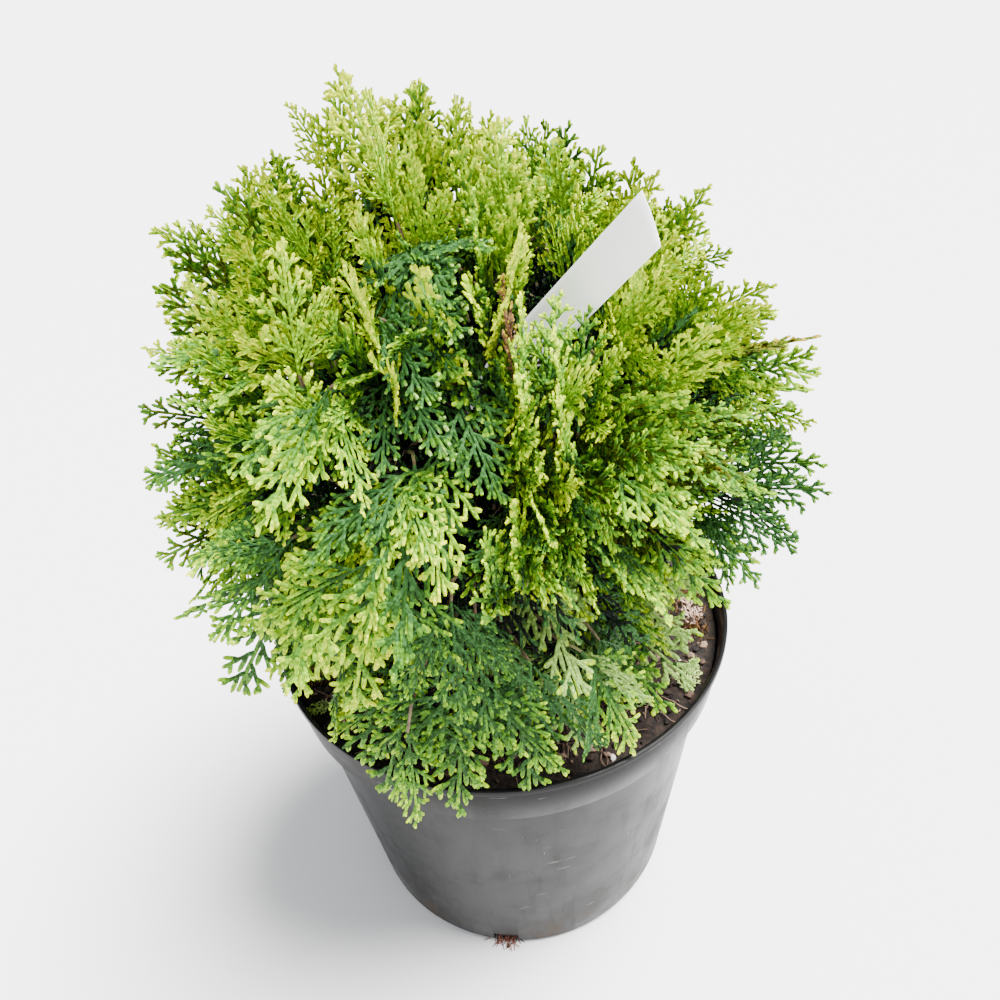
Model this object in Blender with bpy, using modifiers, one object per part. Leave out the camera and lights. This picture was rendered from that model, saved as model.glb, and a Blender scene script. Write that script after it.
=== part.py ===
"""A potted danica arborvitae: a dense, round dwarf conifer in a ten-litre nursery pot.

Metres, +Z up. The origin is the middle of the pot's flat underside, and the front is -Y.
A short trunk stands on the soil. Boughs leave it at three heights and at its top, and each
one carries a mass of foliage: a lumpy core that flat toothed sprays stand out of.
"""
import itertools
import math
import random

import bmesh
import bpy
from mathutils import Matrix, Vector, noise
from mathutils.bvhtree import BVHTree
from mathutils.geometry import interpolate_bezier

GAP = 0.0003                    # between pieces that touch
UP = Vector((0.0, 0.0, 1.0))

# The pot, from its foot to its rolled lip
POT_HEIGHT = 0.222
FOOT_RADIUS = 0.1126
BODY_TOP_RADIUS = 0.1310
COLLAR_HEIGHT = 0.031
COLLAR_LOW_RADIUS = 0.1368
COLLAR_TOP_RADIUS = 0.1388
LIP_RADIUS = 0.1408
LIP_HEIGHT = 0.0042
MOUTH_RADIUS = 0.1380
GROOVE = 0.0012
WALL = 0.0022
FLOOR = 0.0026
FOOT_LINE = 0.0028
POT_STEPS = 36
DRAINS = 4
DRAIN_WIDTH = 0.017
DRAIN_HEIGHT = 0.013
DRAIN_DEPTH = 0.024
DRAIN_BEARING = -9.0            # of the first

# The soil that fills the pot
SOIL_LEVEL = 0.2062
SOIL_RINGS = (0.118, 0.090, 0.058, 0.026)
SOIL_RELIEF = 0.0035
SOIL_FLAT = (0.031, 0.052)      # flat within the first radius, rough beyond the second

# The trunk, from its flat cut on the soil to its fork
TRUNK_FOOT = Vector((-0.0035, 0.001, SOIL_LEVEL + GAP))
TRUNK_FORK = Vector((-0.0105, 0.0, 0.280))
TRUNK_RADII = (0.0128, 0.0080)
TRUNK_POINTS = 7
FLAT_CUT = 0.002                # the foot is levelled this far up
FLARE = 0.34                    # share of the radius that the roots add at the foot
FLARE_HEIGHT = 0.011
FLARE_RIBS = 5

# The crown's outer reach: a ball with lumps, each at a bearing and a height in degrees
CROWN_CENTRE = Vector((-0.0105, 0.0, 0.348))
CROWN_RADIUS = 0.161
CROWN_UNEVEN = 0.005
CROWN_LUMPS = (                 # bearing, height, width in degrees, and what it adds
    (-108, 76, 13, 0.020),
    (-167, 83, 12, 0.008),
    (-84, 45, 13, 0.016),
    (62, 1, 15, 0.024),
    (72, 20, 13, 0.020),
    (-70, 8, 14, 0.008),
    (-44, -16, 17, 0.013),
    (160, 30, 16, 0.014),
    (-150, 12, 14, 0.016),
    (-7, -38, 15, 0.038),
    (-24, -33, 14, 0.024),
    (28, -37, 14, 0.028),
)

# The masses of foliage: how many in each ring, their height in degrees and the first bearing
RINGS = (
    ("low", 5, -27, 0),
    ("middle", 6, 11, 30),
    ("high", 5, 51, 0),
    ("top", 1, 90, 0),
)
MASS_RADIUS = 0.099             # from the crown's centre to the middle of a mass
INNER_WALL = 0.072              # where a mass begins
BOUGH_REACH = 0.066             # where its bough ends
MASS_SPACING = 0.0012
MASS_FLOOR = 0.236

# The core of a mass
CORE_RADIUS = 0.121             # from the crown's centre
CORE_SWELL = 0.058              # from the middle of the mass
CORE_UNEVEN = 0.20

# The boughs: radius at the trunk and at the tip, and where each ring leaves the trunk
BOUGH_RADII = {"low": (0.0029, 0.0019), "middle": (0.0031, 0.0020),
               "high": (0.0033, 0.0020), "top": (0.0042, 0.0023)}
BOUGH_START = {"low": 0.221, "middle": 0.239, "high": 0.252, "top": 0.276}
BOUGH_RISE = {"low": 15, "middle": 45, "high": 54, "top": 90}    # in degrees, at its start
BOUGH_POINTS = 4
BOUGH_END = 0.005
STEM_STRAIGHT = 0.004
TIP_RISE = 18.0                 # a bough's tip points higher than its mass, in degrees

# The sprays: flat toothed blades, in fans of three whose twigs fork inside the core
SPRAYS = 13                     # of a mass
FAN_SPREAD = 38.0
FAN_SIDE = (0.86, 0.95)         # share of the middle spray's reach that the side ones have
FAN_TILT = (8.0, 20.0)          # they turn out of its plane by this much, in degrees
FAN_TRIES = 140
FAN_SPACING = 13.0              # least angle between two fans of a mass, in degrees
FORK_DEPTH = 0.024
TEETH = 3
BLADE_WIDTHS = (1.0, 0.8, 0.6)   # the widest that fits is taken
BLADE_WIDEST = 0.050
FAN_REACHES = (1.0, 0.94, 0.87)  # the longest that fits is taken
LEAN_SHARES = (1.0, 0.5, 0.0, -0.5)
FAN_ROLLS = 3                   # how many ways a fan is turned before it leans less
BLADE_THICKNESS = 0.0022
BLADE_SUNK = 0.009
WALL_MARGIN = 0.0014
POT_MARGIN = 0.0018
FAN_LEAN = {"low": -0.62, "middle": 0.55, "high": 0.55, "top": 0.40}    # along the crown's skin
FAN_ROLL = {"low": (6.0, 20.0), "middle": (22.0, 26.0), "high": (26.0, 28.0),
            "top": (24.0, 28.0)}  # mean and spread in degrees, from lying flat to upright
DROOP = {"low": 0.16, "middle": 0.03, "high": -0.04, "top": -0.04}
SEED = 10

# The bare plastic label: it leans on the foliage, and its tail ends on a bough
LABEL_END = Vector((0.0670, -0.0804, 0.4766))
LABEL_BOUGH = "high_1"
LABEL_HOLD = 0.64               # how far along that bough
LABEL_ACROSS = Vector((-0.298, 0.836, 0.460))
LABEL_OPEN = Vector((-0.087, -0.909, 0.407))   # the crown is open over it on this side
LABEL_WIDTH = 0.0235
LABEL_TAIL_WIDTH = 0.006
LABEL_TAIL = 0.030
LABEL_THICKNESS = 0.0006
LABEL_SHOWN = 0.45              # the share of its length that no foliage covers
LABEL_CLEAR = 0.002

COLOURS = {                     # colour, roughness, metallic
    "pot": ((0.085, 0.087, 0.085, 1.0), 0.42, 0.0),
    "soil": ((0.055, 0.036, 0.026, 1.0), 0.95, 0.0),
    "bark": ((0.150, 0.095, 0.060, 1.0), 0.85, 0.0),
    "foliage": ((0.230, 0.380, 0.090, 1.0), 0.60, 0.0),
    "label": ((0.860, 0.880, 0.900, 1.0), 0.35, 0.0),
}


def direction(bearing, height):
    """Unit vector for a bearing from the front (-Y) round to +X and a height, in degrees."""
    bearing, height = math.radians(bearing), math.radians(height)
    flat = math.cos(height)
    return Vector((math.sin(bearing) * flat, -math.cos(bearing) * flat, math.sin(height)))


def perpendicular(vector, axis):
    """The unit part of a vector that is square to an axis."""
    return (vector - axis * vector.dot(axis)).normalized()


def crown_reach(ray):
    """Distance from the crown's centre to its furthest tips along a unit ray."""
    reach = CROWN_RADIUS + CROWN_UNEVEN * noise.noise(ray * 3.1)
    for bearing, height, width, rise in CROWN_LUMPS:
        angle = math.degrees(ray.angle(direction(bearing, height)))
        reach += rise * math.exp(-(angle / width) ** 2)
    return reach


def clear_of_pot(point):
    """Whether a point is outside the pot and its soil, with a margin."""
    from_axis = math.hypot(point.x, point.y)
    if point.z > POT_HEIGHT + POT_MARGIN:
        return True
    if from_axis > LIP_RADIUS + POT_MARGIN:
        return point.z > POT_HEIGHT - COLLAR_HEIGHT
    inside = from_axis < MOUTH_RADIUS - POT_MARGIN
    return inside and point.z > SOIL_LEVEL + SOIL_RELIEF + POT_MARGIN


class Mass:
    """A foliage mass: its ring, name, axis from the crown's centre, middle and flat walls."""

    def __init__(self, ring, number, bearing, height):
        self.ring = ring
        self.bearing = bearing
        self.name = ring if ring == "top" else f"{ring}_{number}"
        self.axis = direction(bearing, height)
        self.middle = CROWN_CENTRE + self.axis * MASS_RADIUS
        self.tip_axis = direction(bearing, TIP_RISE + 0.8 * height)
        self.bough_tip = CROWN_CENTRE + self.axis * BOUGH_REACH
        inner = -self.axis.dot(CROWN_CENTRE) - INNER_WALL
        self.walls = [(-self.axis, inner), (-UP, -MASS_FLOOR)]

    def part_from(self, other):
        """Adds the wall half way to another mass."""
        normal = (other.axis - self.axis).normalized()
        self.walls.append((normal, normal.dot(CROWN_CENTRE) - MASS_SPACING / 2))

    def holds(self, point, margin=0.0, hanging=False):
        """Whether a point is within the walls. A hanging one may pass below the floor wall."""
        walls = self.walls[:1] + self.walls[2:] if hanging else self.walls
        return all(normal.dot(point) <= offset - margin for normal, offset in walls)

    def room(self, ray):
        """Distance from the middle to the nearest wall along a unit ray."""
        room = CORE_SWELL * 2
        for normal, offset in self.walls:
            approach = normal.dot(ray)
            if approach > 0.0:
                room = min(room, (offset - normal.dot(self.middle)) / approach)
        return room


def make_masses():
    """All the masses, each with the walls that part it from the others."""
    masses = []
    for ring, count, height, first in RINGS:
        for number in range(count):
            bearing = first + 360.0 * number / count
            masses.append(Mass(ring, number + 1, bearing, height))
    for mass in masses:
        for other in masses:
            if other is not mass:
                mass.part_from(other)
    return masses


def clear_scene():
    for old in list(bpy.data.objects):
        bpy.data.objects.remove(old)


def new_collection(name):
    collection = bpy.data.collections.new(name)
    bpy.context.scene.collection.children.link(collection)
    return collection


def new_material(name, finish):
    colour, roughness, metallic = COLOURS[finish]
    material = bpy.data.materials.new(name)
    material.use_nodes = True
    shader = material.node_tree.nodes["Principled BSDF"]
    shader.inputs["Base Color"].default_value = colour
    shader.inputs["Roughness"].default_value = roughness
    shader.inputs["Metallic"].default_value = metallic
    material.diffuse_color = colour
    return material


def new_object(name, mesh, collection, finish=None):
    """Links a mesh or curve as an object, with a material of its own where it has a finish."""
    made = bpy.data.objects.new(name, mesh)
    collection.objects.link(made)
    if finish:
        mesh.materials.clear()
        mesh.materials.append(new_material(name, finish))
    return made


def applied(source, name):
    """A mesh of an object with its modifiers or bevel applied, in world space and welded."""
    bpy.context.view_layer.update()
    evaluated = source.evaluated_get(bpy.context.evaluated_depsgraph_get())
    mesh = bpy.data.meshes.new_from_object(evaluated)
    mesh.transform(source.matrix_world)
    mesh.name = name
    bm = bmesh.new()
    bm.from_mesh(mesh)
    bmesh.ops.remove_doubles(bm, verts=bm.verts, dist=1e-6)
    bm.to_mesh(mesh)
    bm.free()
    return mesh


def limb_mesh(name, points, radii, resolution, collection):
    """A closed tapered limb through points, each with its radius."""
    curve = bpy.data.curves.new(name, "CURVE")
    curve.dimensions = "3D"
    curve.bevel_depth = 1.0
    curve.bevel_resolution = resolution
    curve.use_fill_caps = True
    spline = curve.splines.new("POLY")
    spline.points.add(len(points) - 1)
    for spot, point, radius in zip(spline.points, points, radii):
        spot.co = (*point, 1.0)
        spot.radius = radius
    guide = new_object(name, curve, collection)
    mesh = applied(guide, name)
    bpy.data.objects.remove(guide)
    bpy.data.curves.remove(curve)
    return mesh


def turned(name, profile, collection, finish):
    """A solid of revolution from a profile that runs down its outer side."""
    mesh = bpy.data.meshes.new(name)
    edges = [(i, i + 1) for i in range(len(profile) - 1)]
    mesh.from_pydata([(radius, 0.0, z) for radius, z in profile], edges, [])
    made = new_object(name, mesh, collection, finish)
    screw = made.modifiers.new("turn", "SCREW")
    screw.steps = POT_STEPS
    screw.render_steps = POT_STEPS
    screw.use_merge_vertices = True
    screw.merge_threshold = 0.0001
    return made


def cut(target, cutter):
    """Takes a cutter, an object or a whole collection, out of a target."""
    boolean = target.modifiers.new("cut", "BOOLEAN")
    boolean.operation = "DIFFERENCE"
    boolean.solver = "EXACT"
    if isinstance(cutter, bpy.types.Collection):
        boolean.operand_type = "COLLECTION"
        boolean.collection = cutter
    else:
        boolean.object = cutter
    return target


def body_radius(z):
    """Outer radius of the pot's plain body at a height."""
    share = z / (POT_HEIGHT - COLLAR_HEIGHT)
    return FOOT_RADIUS + (BODY_TOP_RADIUS - FOOT_RADIUS) * share


def pot_profile():
    """From the middle of the inner floor, up inside, over the lip and down to the underside."""
    shoulder = POT_HEIGHT - COLLAR_HEIGHT
    lip_foot = POT_HEIGHT - LIP_HEIGHT
    roll = LIP_HEIGHT * 0.3
    inside = [
        (0.0, FLOOR),
        (body_radius(FLOOR) - WALL, FLOOR),
        (BODY_TOP_RADIUS - WALL, shoulder - 0.001),
        (COLLAR_LOW_RADIUS - WALL, shoulder + 0.002),
        (MOUTH_RADIUS - WALL * 0.6, lip_foot - 0.002),
        (MOUTH_RADIUS, POT_HEIGHT - roll * 0.4),
    ]
    outside = [
        (MOUTH_RADIUS + 0.0008, POT_HEIGHT),
        (LIP_RADIUS - 0.0008, POT_HEIGHT),
        (LIP_RADIUS, POT_HEIGHT - roll),
        (LIP_RADIUS, lip_foot + roll * 0.6),
        (COLLAR_TOP_RADIUS, lip_foot),
        (COLLAR_TOP_RADIUS - GROOVE * 0.5, lip_foot - GROOVE),
        (COLLAR_TOP_RADIUS, lip_foot - 2.2 * GROOVE),
        (COLLAR_LOW_RADIUS, shoulder + 0.0012),
        (COLLAR_LOW_RADIUS - 0.0012, shoulder),
        (BODY_TOP_RADIUS, shoulder - 0.0004),
        (body_radius(FOOT_LINE), FOOT_LINE + 0.0008),
        (FOOT_RADIUS - 0.0007, FOOT_LINE),
        (FOOT_RADIUS - 0.0014, 0.0),
        (0.0, 0.0),
    ]
    return inside + outside


def make_pot(collection, cutters):
    pot = turned("pot", pot_profile(), collection, "pot")
    for number in range(DRAINS):
        turn = Matrix.Rotation(math.radians(DRAIN_BEARING + 360.0 * number / DRAINS), 4, "Z")
        bpy.ops.mesh.primitive_cube_add(size=1.0)
        notch = bpy.context.active_object
        notch.name = f"drain_{number + 1}"
        shape = Matrix.Diagonal((DRAIN_WIDTH, DRAIN_DEPTH, 2 * DRAIN_HEIGHT, 1.0))
        notch.data.transform(shape)
        notch.matrix_world = turn @ Matrix.Translation((0.0, -FOOT_RADIUS, 0.0))
        for home in list(notch.users_collection):
            home.objects.unlink(notch)
        cutters.objects.link(notch)
        notch.hide_render = True
        notch.display_type = "WIRE"
    return cut(pot, cutters)


def soil_profile():
    """From the middle of the top out to the wall, down it and back along the pot's floor."""
    shoulder = POT_HEIGHT - COLLAR_HEIGHT
    rim = MOUTH_RADIUS - WALL - 0.0008
    top = [(0.0, SOIL_LEVEL)] + [(ring, SOIL_LEVEL) for ring in reversed(SOIL_RINGS)]
    side = [
        (rim, SOIL_LEVEL - 0.001),
        (COLLAR_LOW_RADIUS - WALL - GAP, shoulder + 0.0024),
        (BODY_TOP_RADIUS - WALL - GAP, shoulder - 0.0008),
        (body_radius(FLOOR) - WALL - GAP, FLOOR + GAP),
        (0.0, FLOOR + GAP),
    ]
    return top + side


def make_soil(collection):
    """The soil: turned, then its top made uneven away from the trunk's foot."""
    guide = turned("soil", soil_profile(), collection, "soil")
    mesh = applied(guide, "soil")
    bpy.data.objects.remove(guide)
    near, far = SOIL_FLAT
    for vert in mesh.vertices:
        if vert.co.z < SOIL_LEVEL - 0.002:
            continue
        from_foot = math.hypot(vert.co.x - TRUNK_FOOT.x, vert.co.y - TRUNK_FOOT.y)
        share = min(1.0, max(0.0, (from_foot - near) / (far - near)))
        vert.co.z += SOIL_RELIEF * share * noise.noise(vert.co * 38.0)
    return new_object("soil", mesh, collection, "soil")


def trunk_point(z):
    """The trunk's axis at a height: upright at the foot, leaning in to the crown's middle."""
    share = (z - TRUNK_FOOT.z) / (TRUNK_FORK.z - TRUNK_FOOT.z)
    lean = share * share * (3.0 - 2.0 * share)
    point = TRUNK_FOOT.lerp(TRUNK_FORK, lean)
    return Vector((point.x, point.y, z))


def trunk_mesh(name, extra, collection):
    """The flared trunk, or with extra the sleeve that keeps its boughs clear of it."""
    points = []
    radii = []
    for step in range(TRUNK_POINTS):
        share = step / (TRUNK_POINTS - 1)
        z = TRUNK_FOOT.z + (TRUNK_FORK.z - TRUNK_FOOT.z) * share
        points.append(trunk_point(z))
        radii.append(TRUNK_RADII[0] + (TRUNK_RADII[1] - TRUNK_RADII[0]) * share + extra)
    points[0] -= UP * extra
    points[-1] += UP * extra
    mesh = limb_mesh(name, points, radii, 4, collection)
    for vert in mesh.vertices:
        if vert.co.z < TRUNK_FOOT.z + FLAT_CUT:
            vert.co.z = TRUNK_FOOT.z - extra
        height = max(0.0, vert.co.z - TRUNK_FOOT.z)
        middle = trunk_point(min(vert.co.z, TRUNK_FORK.z))
        offset = Vector((vert.co.x - middle.x, vert.co.y - middle.y, 0.0))
        ribs = 0.65 + 0.35 * math.cos(FLARE_RIBS * math.atan2(offset.y, offset.x))
        vert.co += offset * FLARE * ribs * math.exp(-height / FLARE_HEIGHT)
    return mesh


def bough_points(mass):
    """The bough's line: out of the trunk's axis, bending up to its tip, straight at the end."""
    start = trunk_point(BOUGH_START[mass.ring])
    end = mass.bough_tip - mass.tip_axis * BOUGH_END
    span = (end - start).length
    leave = start + direction(mass.bearing, BOUGH_RISE[mass.ring]) * span * 0.22
    arrive = end - mass.tip_axis * span * 0.30
    return interpolate_bezier(start, leave, arrive, end, BOUGH_POINTS) + [mass.bough_tip]


def bough_radii(mass, extra=0.0):
    base, tip = BOUGH_RADII[mass.ring]
    return [base + (tip - base) * step / BOUGH_POINTS + extra for step in range(BOUGH_POINTS + 1)]


def make_bough(mass, sleeve, collection):
    """A tapering limb whose root is cut to the trunk's surface."""
    name = f"bough_{mass.name}"
    mesh = limb_mesh(name, bough_points(mass), bough_radii(mass), 1, collection)
    guide = cut(new_object(name, mesh, collection), sleeve)
    mesh = applied(guide, name)
    bpy.data.objects.remove(guide)
    return new_object(name, mesh, collection, "bark")


def blade_outline():
    """A spray's outline from its foot, half way round: x, y and thickness of each point."""
    half = [(0.0, 0.020, 1.0), (0.20, 0.022, 1.0)]
    for tooth in range(TEETH):
        share = tooth / TEETH
        foot = 0.20 + 0.62 * share
        width = 0.34 * math.sin(math.pi * (0.36 + 0.56 * share))
        half.append((foot + 0.27, width, 0.0))
        half.append((foot + 0.62 / TEETH, 0.032 - 0.008 * share, 1.0))
    return half + [(1.0, 0.0, 0.0)]


def blade_mesh():
    """A flat toothed blade one unit long in the XY plane, its teeth thinning to their points."""
    half = blade_outline()
    outline = half + [(x, -y, thick) for x, y, thick in reversed(half[:-1])]
    thickness = {}
    bm = bmesh.new()
    for x, y, thick in outline:
        thickness[bm.verts.new((x, y, 0.0))] = thick
    face = bm.faces.new(list(thickness))
    bmesh.ops.triangulate(bm, faces=[face], ngon_method="EAR_CLIP")
    lower = list(thickness)
    raised = bmesh.ops.extrude_face_region(bm, geom=bm.faces[:], use_keep_orig=True)
    for vert in raised["geom"]:
        if isinstance(vert, bmesh.types.BMVert):
            twin = min(lower, key=lambda other: (other.co - vert.co).length)
            vert.co.z = thickness[twin] / 2
            twin.co.z = -thickness[twin] / 2
    bmesh.ops.remove_doubles(bm, verts=bm.verts, dist=1e-5)
    bmesh.ops.recalc_face_normals(bm, faces=bm.faces)
    mesh = bpy.data.meshes.new("blade")
    bm.to_mesh(mesh)
    bm.free()
    return mesh


class Spray:
    """Where one spray lies: its root, its tip, the way its blade faces and how far it droops."""

    def __init__(self, root, tip, facing, droop, width):
        self.root = root
        self.axis = (tip - root).normalized()
        self.length = (tip - root).length
        self.width = min(width, BLADE_WIDEST / self.length)
        self.facing = perpendicular(facing, self.axis)
        self.across = self.facing.cross(self.axis)
        self.droop = droop

    def place(self, x, y, z=0.0):
        """A point of the unit blade, in the world."""
        point = self.root + (self.axis * x + self.across * y * self.width) * self.length
        point += self.facing * z * BLADE_THICKNESS * (1.15 - 0.35 * x)
        return point - UP * self.droop * self.length * x * x

    def fits(self, mass):
        """Whether the whole outline keeps to the mass's space and off the pot."""
        for x, y, _ in blade_outline():
            for side in (y, -y):
                point = self.place(x, side)
                if not (mass.holds(point, WALL_MARGIN, hanging=True) and clear_of_pot(point)):
                    return False
        return True


def fan_rays(mass, draw):
    """Rays spread over a mass's share of the crown by the golden angle, in a drawn order."""
    side = perpendicular(UP if mass.ring != "top" else Vector((0.0, -1.0, 0.0)), mass.axis)
    turn = draw.uniform(0.0, math.tau)
    rays = []
    for step in range(FAN_TRIES):
        lean = math.radians(3.0 + 36.0 * math.sqrt((step + 0.5) / FAN_TRIES))
        spin = turn + step * math.pi * (3.0 - math.sqrt(5.0))
        away = Matrix.Rotation(spin, 3, mass.axis) @ side
        rays.append((mass.axis * math.cos(lean) + away * math.sin(lean)).normalized())
    draw.shuffle(rays)
    return rays


def grow_spray(fork, aim, facing, mass, core):
    """The spray from a fork in the core towards an aim, rooted just under the core's surface."""
    line = (aim - fork).normalized()
    surface = core.ray_cast(aim, -line)[0]
    if surface is None:
        return None
    root = surface - line * BLADE_SUNK
    droop = DROOP[mass.ring]
    for width in BLADE_WIDTHS:
        spray = Spray(root, aim + UP * droop * (aim - root).length, facing, droop, width)
        if spray.fits(mass):
            return spray
    return None


def lead_spray(ray, mass, core, draw):
    """The middle spray of a fan on a ray and the fork it leaves: the longest that fits."""
    skyward = perpendicular(UP if mass.ring != "top" else -mass.axis.orthogonal(), ray)
    for reach, lean in itertools.product(FAN_REACHES, LEAN_SHARES):
        line = (ray + skyward * FAN_LEAN[mass.ring] * lean).normalized()
        tip = CROWN_CENTRE + ray * crown_reach(ray) * reach
        surface = core.ray_cast(tip, -line)[0]
        if surface is None:
            continue
        fork = surface - line * FORK_DEPTH
        for _ in range(FAN_ROLLS):
            roll = draw.choice((-1.0, 1.0)) * draw.gauss(*FAN_ROLL[mass.ring])
            facing = Matrix.Rotation(math.radians(roll), 3, line) @ perpendicular(ray, line)
            lead = grow_spray(fork, tip, facing, mass, core)
            if lead:
                return lead, fork
    return None, None


def grow(mass, core, draw):
    """The mass's sprays: its twigs fork inside the core, each into a fan of up to three."""
    sprays = []
    taken = []
    for ray in fan_rays(mass, draw):
        if len(sprays) >= SPRAYS:
            break
        if any(ray.angle(other) < math.radians(FAN_SPACING) for other in taken):
            continue
        lead, fork = lead_spray(ray, mass, core, draw)
        if lead is None:
            continue
        taken.append(ray)
        sprays.append(lead)
        aim = lead.root + lead.axis * lead.length
        for side in (1.0, -1.0):
            swing = Matrix.Rotation(math.radians(side * FAN_SPREAD), 3, lead.facing)
            end = fork + (swing @ (aim - fork)) * draw.uniform(*FAN_SIDE)
            tilt = math.radians(side * draw.uniform(*FAN_TILT))
            tilted = Matrix.Rotation(tilt, 3, (end - fork).normalized()) @ lead.facing
            branch = grow_spray(fork, end, tilted, mass, core)
            if branch:
                sprays.append(branch)
    return sprays


def core_mesh(mass):
    """The core: a ball that swells from the mass's middle until it meets a wall or the skin."""
    bm = bmesh.new()
    bmesh.ops.create_icosphere(bm, subdivisions=2, radius=1.0)
    from_centre = mass.middle - CROWN_CENTRE
    for vert in bm.verts:
        ray = vert.co.normalized()
        along = from_centre.dot(ray)
        skin = -along + math.sqrt(along * along - from_centre.length_squared + CORE_RADIUS ** 2)
        uneven = 1.0 + CORE_UNEVEN * noise.noise(mass.middle * 50.0 + ray * 1.6)
        reach = min(mass.room(ray), skin * uneven, CORE_SWELL * uneven)
        vert.co = mass.middle + ray * reach
    mesh = bpy.data.meshes.new("core")
    bm.to_mesh(mesh)
    bm.free()
    return mesh


def one_body(mesh):
    """Keeps only a mesh's largest closed shell, which fills hollows and drops scraps."""
    bm = bmesh.new()
    bm.from_mesh(mesh)
    bmesh.ops.remove_doubles(bm, verts=bm.verts, dist=2e-6)
    bmesh.ops.triangulate(bm, faces=bm.faces)
    left = set(bm.faces)
    shells = []
    while left:
        shell = {left.pop()}
        edge_of = list(shell)
        while edge_of:
            face = edge_of.pop()
            for edge in face.edges:
                for near in edge.link_faces:
                    if near in left:
                        left.discard(near)
                        shell.add(near)
                        edge_of.append(near)
        shells.append(shell)
    shells.sort(key=len)
    scraps = [face for shell in shells[:-1] for face in shell]
    bmesh.ops.delete(bm, geom=scraps, context="FACES")
    bm.to_mesh(mesh)
    bm.free()
    return mesh


def make_mass(mass, blade, draw, collection):
    """Core, stem and sprays, joined by one union."""
    name = f"foliage_{mass.name}"
    core = core_mesh(mass)
    bm = bmesh.new()
    bm.from_mesh(core)
    tree = BVHTree.FromBMesh(bm)
    bm.free()
    parts = new_collection(f"{name}_parts")
    start = mass.bough_tip + mass.tip_axis * GAP
    radius = BOUGH_RADII[mass.ring][1]
    stem = limb_mesh("stem", [start, start + mass.tip_axis * STEM_STRAIGHT, mass.middle],
                     (radius, radius, radius * 0.7), 1, parts)
    new_object("stem", stem, parts)
    for spray in grow(mass, tree, draw):
        mesh = blade.copy()
        for vert in mesh.vertices:
            vert.co = spray.place(*vert.co)
        new_object("spray", mesh, parts)
    joined = new_object(name, core, collection)
    union = joined.modifiers.new("join", "BOOLEAN")
    union.operation = "UNION"
    union.solver = "MANIFOLD"
    union.operand_type = "COLLECTION"
    union.collection = parts
    mesh = one_body(applied(joined, name))
    bpy.data.objects.remove(joined)
    for part in list(parts.objects):
        bpy.data.objects.remove(part)
    bpy.data.collections.remove(parts)
    return new_object(name, mesh, collection, "foliage")


class Label:
    """The label's line from its hold on the bough to its free end, and its face."""

    def __init__(self, masses):
        holder = next(mass for mass in masses if mass.name == LABEL_BOUGH)
        points = bough_points(holder)
        place = LABEL_HOLD * (len(points) - 1)
        step = int(place)
        self.hold = points[step].lerp(points[step + 1], place - step)
        self.holder = holder
        self.along = (LABEL_END - self.hold).normalized()
        self.length = (LABEL_END - self.hold).length
        self.across = perpendicular(LABEL_ACROSS, self.along)
        self.face = self.across.cross(self.along)
        if self.face.dot(LABEL_OPEN) < 0.0:
            self.face = -self.face

    def matrix(self):
        axes = Matrix((self.along, self.face.cross(self.along), self.face)).transposed()
        return Matrix.Translation(self.hold) @ axes.to_4x4()

    def samples(self):
        """Points over the label, and over the open air in front of the part that shows."""
        for step in range(13):
            share = step / 12
            for side in (-0.5, 0.0, 0.5):
                point = self.hold + self.along * self.length * share
                point += self.across * side * LABEL_WIDTH
                yield point
                if share > LABEL_SHOWN:
                    for rise in (0.015, 0.03, 0.045, 0.06):
                        yield point + LABEL_OPEN * rise

    def make_room(self, masses):
        """Gives each mass that the label meets a wall: behind its back, or beside it."""
        back = self.face.dot(self.hold) - LABEL_THICKNESS / 2 - GAP
        beside = self.along.cross(LABEL_OPEN).normalized()
        for mass in masses:
            points = [point for point in self.samples() if mass.holds(point)]
            if not points:
                continue
            if self.face.dot(mass.middle - self.hold) < 0.0:
                mass.walls.append((self.face, back))
                continue
            away = -beside if beside.dot(mass.middle - self.hold) > 0.0 else beside
            half = LABEL_WIDTH / 2 * abs(away.dot(self.across)) + LABEL_CLEAR
            mass.walls.append((away, away.dot(self.hold) - half))


def make_label(label, collection):
    """A flat strip, square at its free end, with a narrow tail cut to the bough it ends on."""
    half, tail = LABEL_WIDTH / 2, LABEL_TAIL_WIDTH / 2
    outline = [(0.0, -tail), (LABEL_TAIL, -half), (label.length, -half),
               (label.length, half), (LABEL_TAIL, half), (0.0, tail)]
    curve = bpy.data.curves.new("label", "CURVE")
    curve.dimensions = "2D"
    curve.fill_mode = "BOTH"
    curve.extrude = LABEL_THICKNESS / 2
    spline = curve.splines.new("POLY")
    spline.points.add(len(outline) - 1)
    for spot, (x, y) in zip(spline.points, outline):
        spot.co = (x, y, 0.0, 1.0)
    spline.use_cyclic_u = True
    guide = new_object("label", curve, collection)
    guide.matrix_world = label.matrix()
    mesh = applied(guide, "label")
    bpy.data.objects.remove(guide)
    holder = label.holder
    sleeve_mesh = limb_mesh("label_sleeve", bough_points(holder), bough_radii(holder, GAP), 1,
                            collection)
    sleeve = new_object("label_sleeve", sleeve_mesh, collection)
    guide = cut(new_object("label", mesh, collection), sleeve)
    mesh = applied(guide, "label")
    bpy.data.objects.remove(guide)
    bpy.data.objects.remove(sleeve)
    return new_object("label", mesh, collection, "label")


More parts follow.
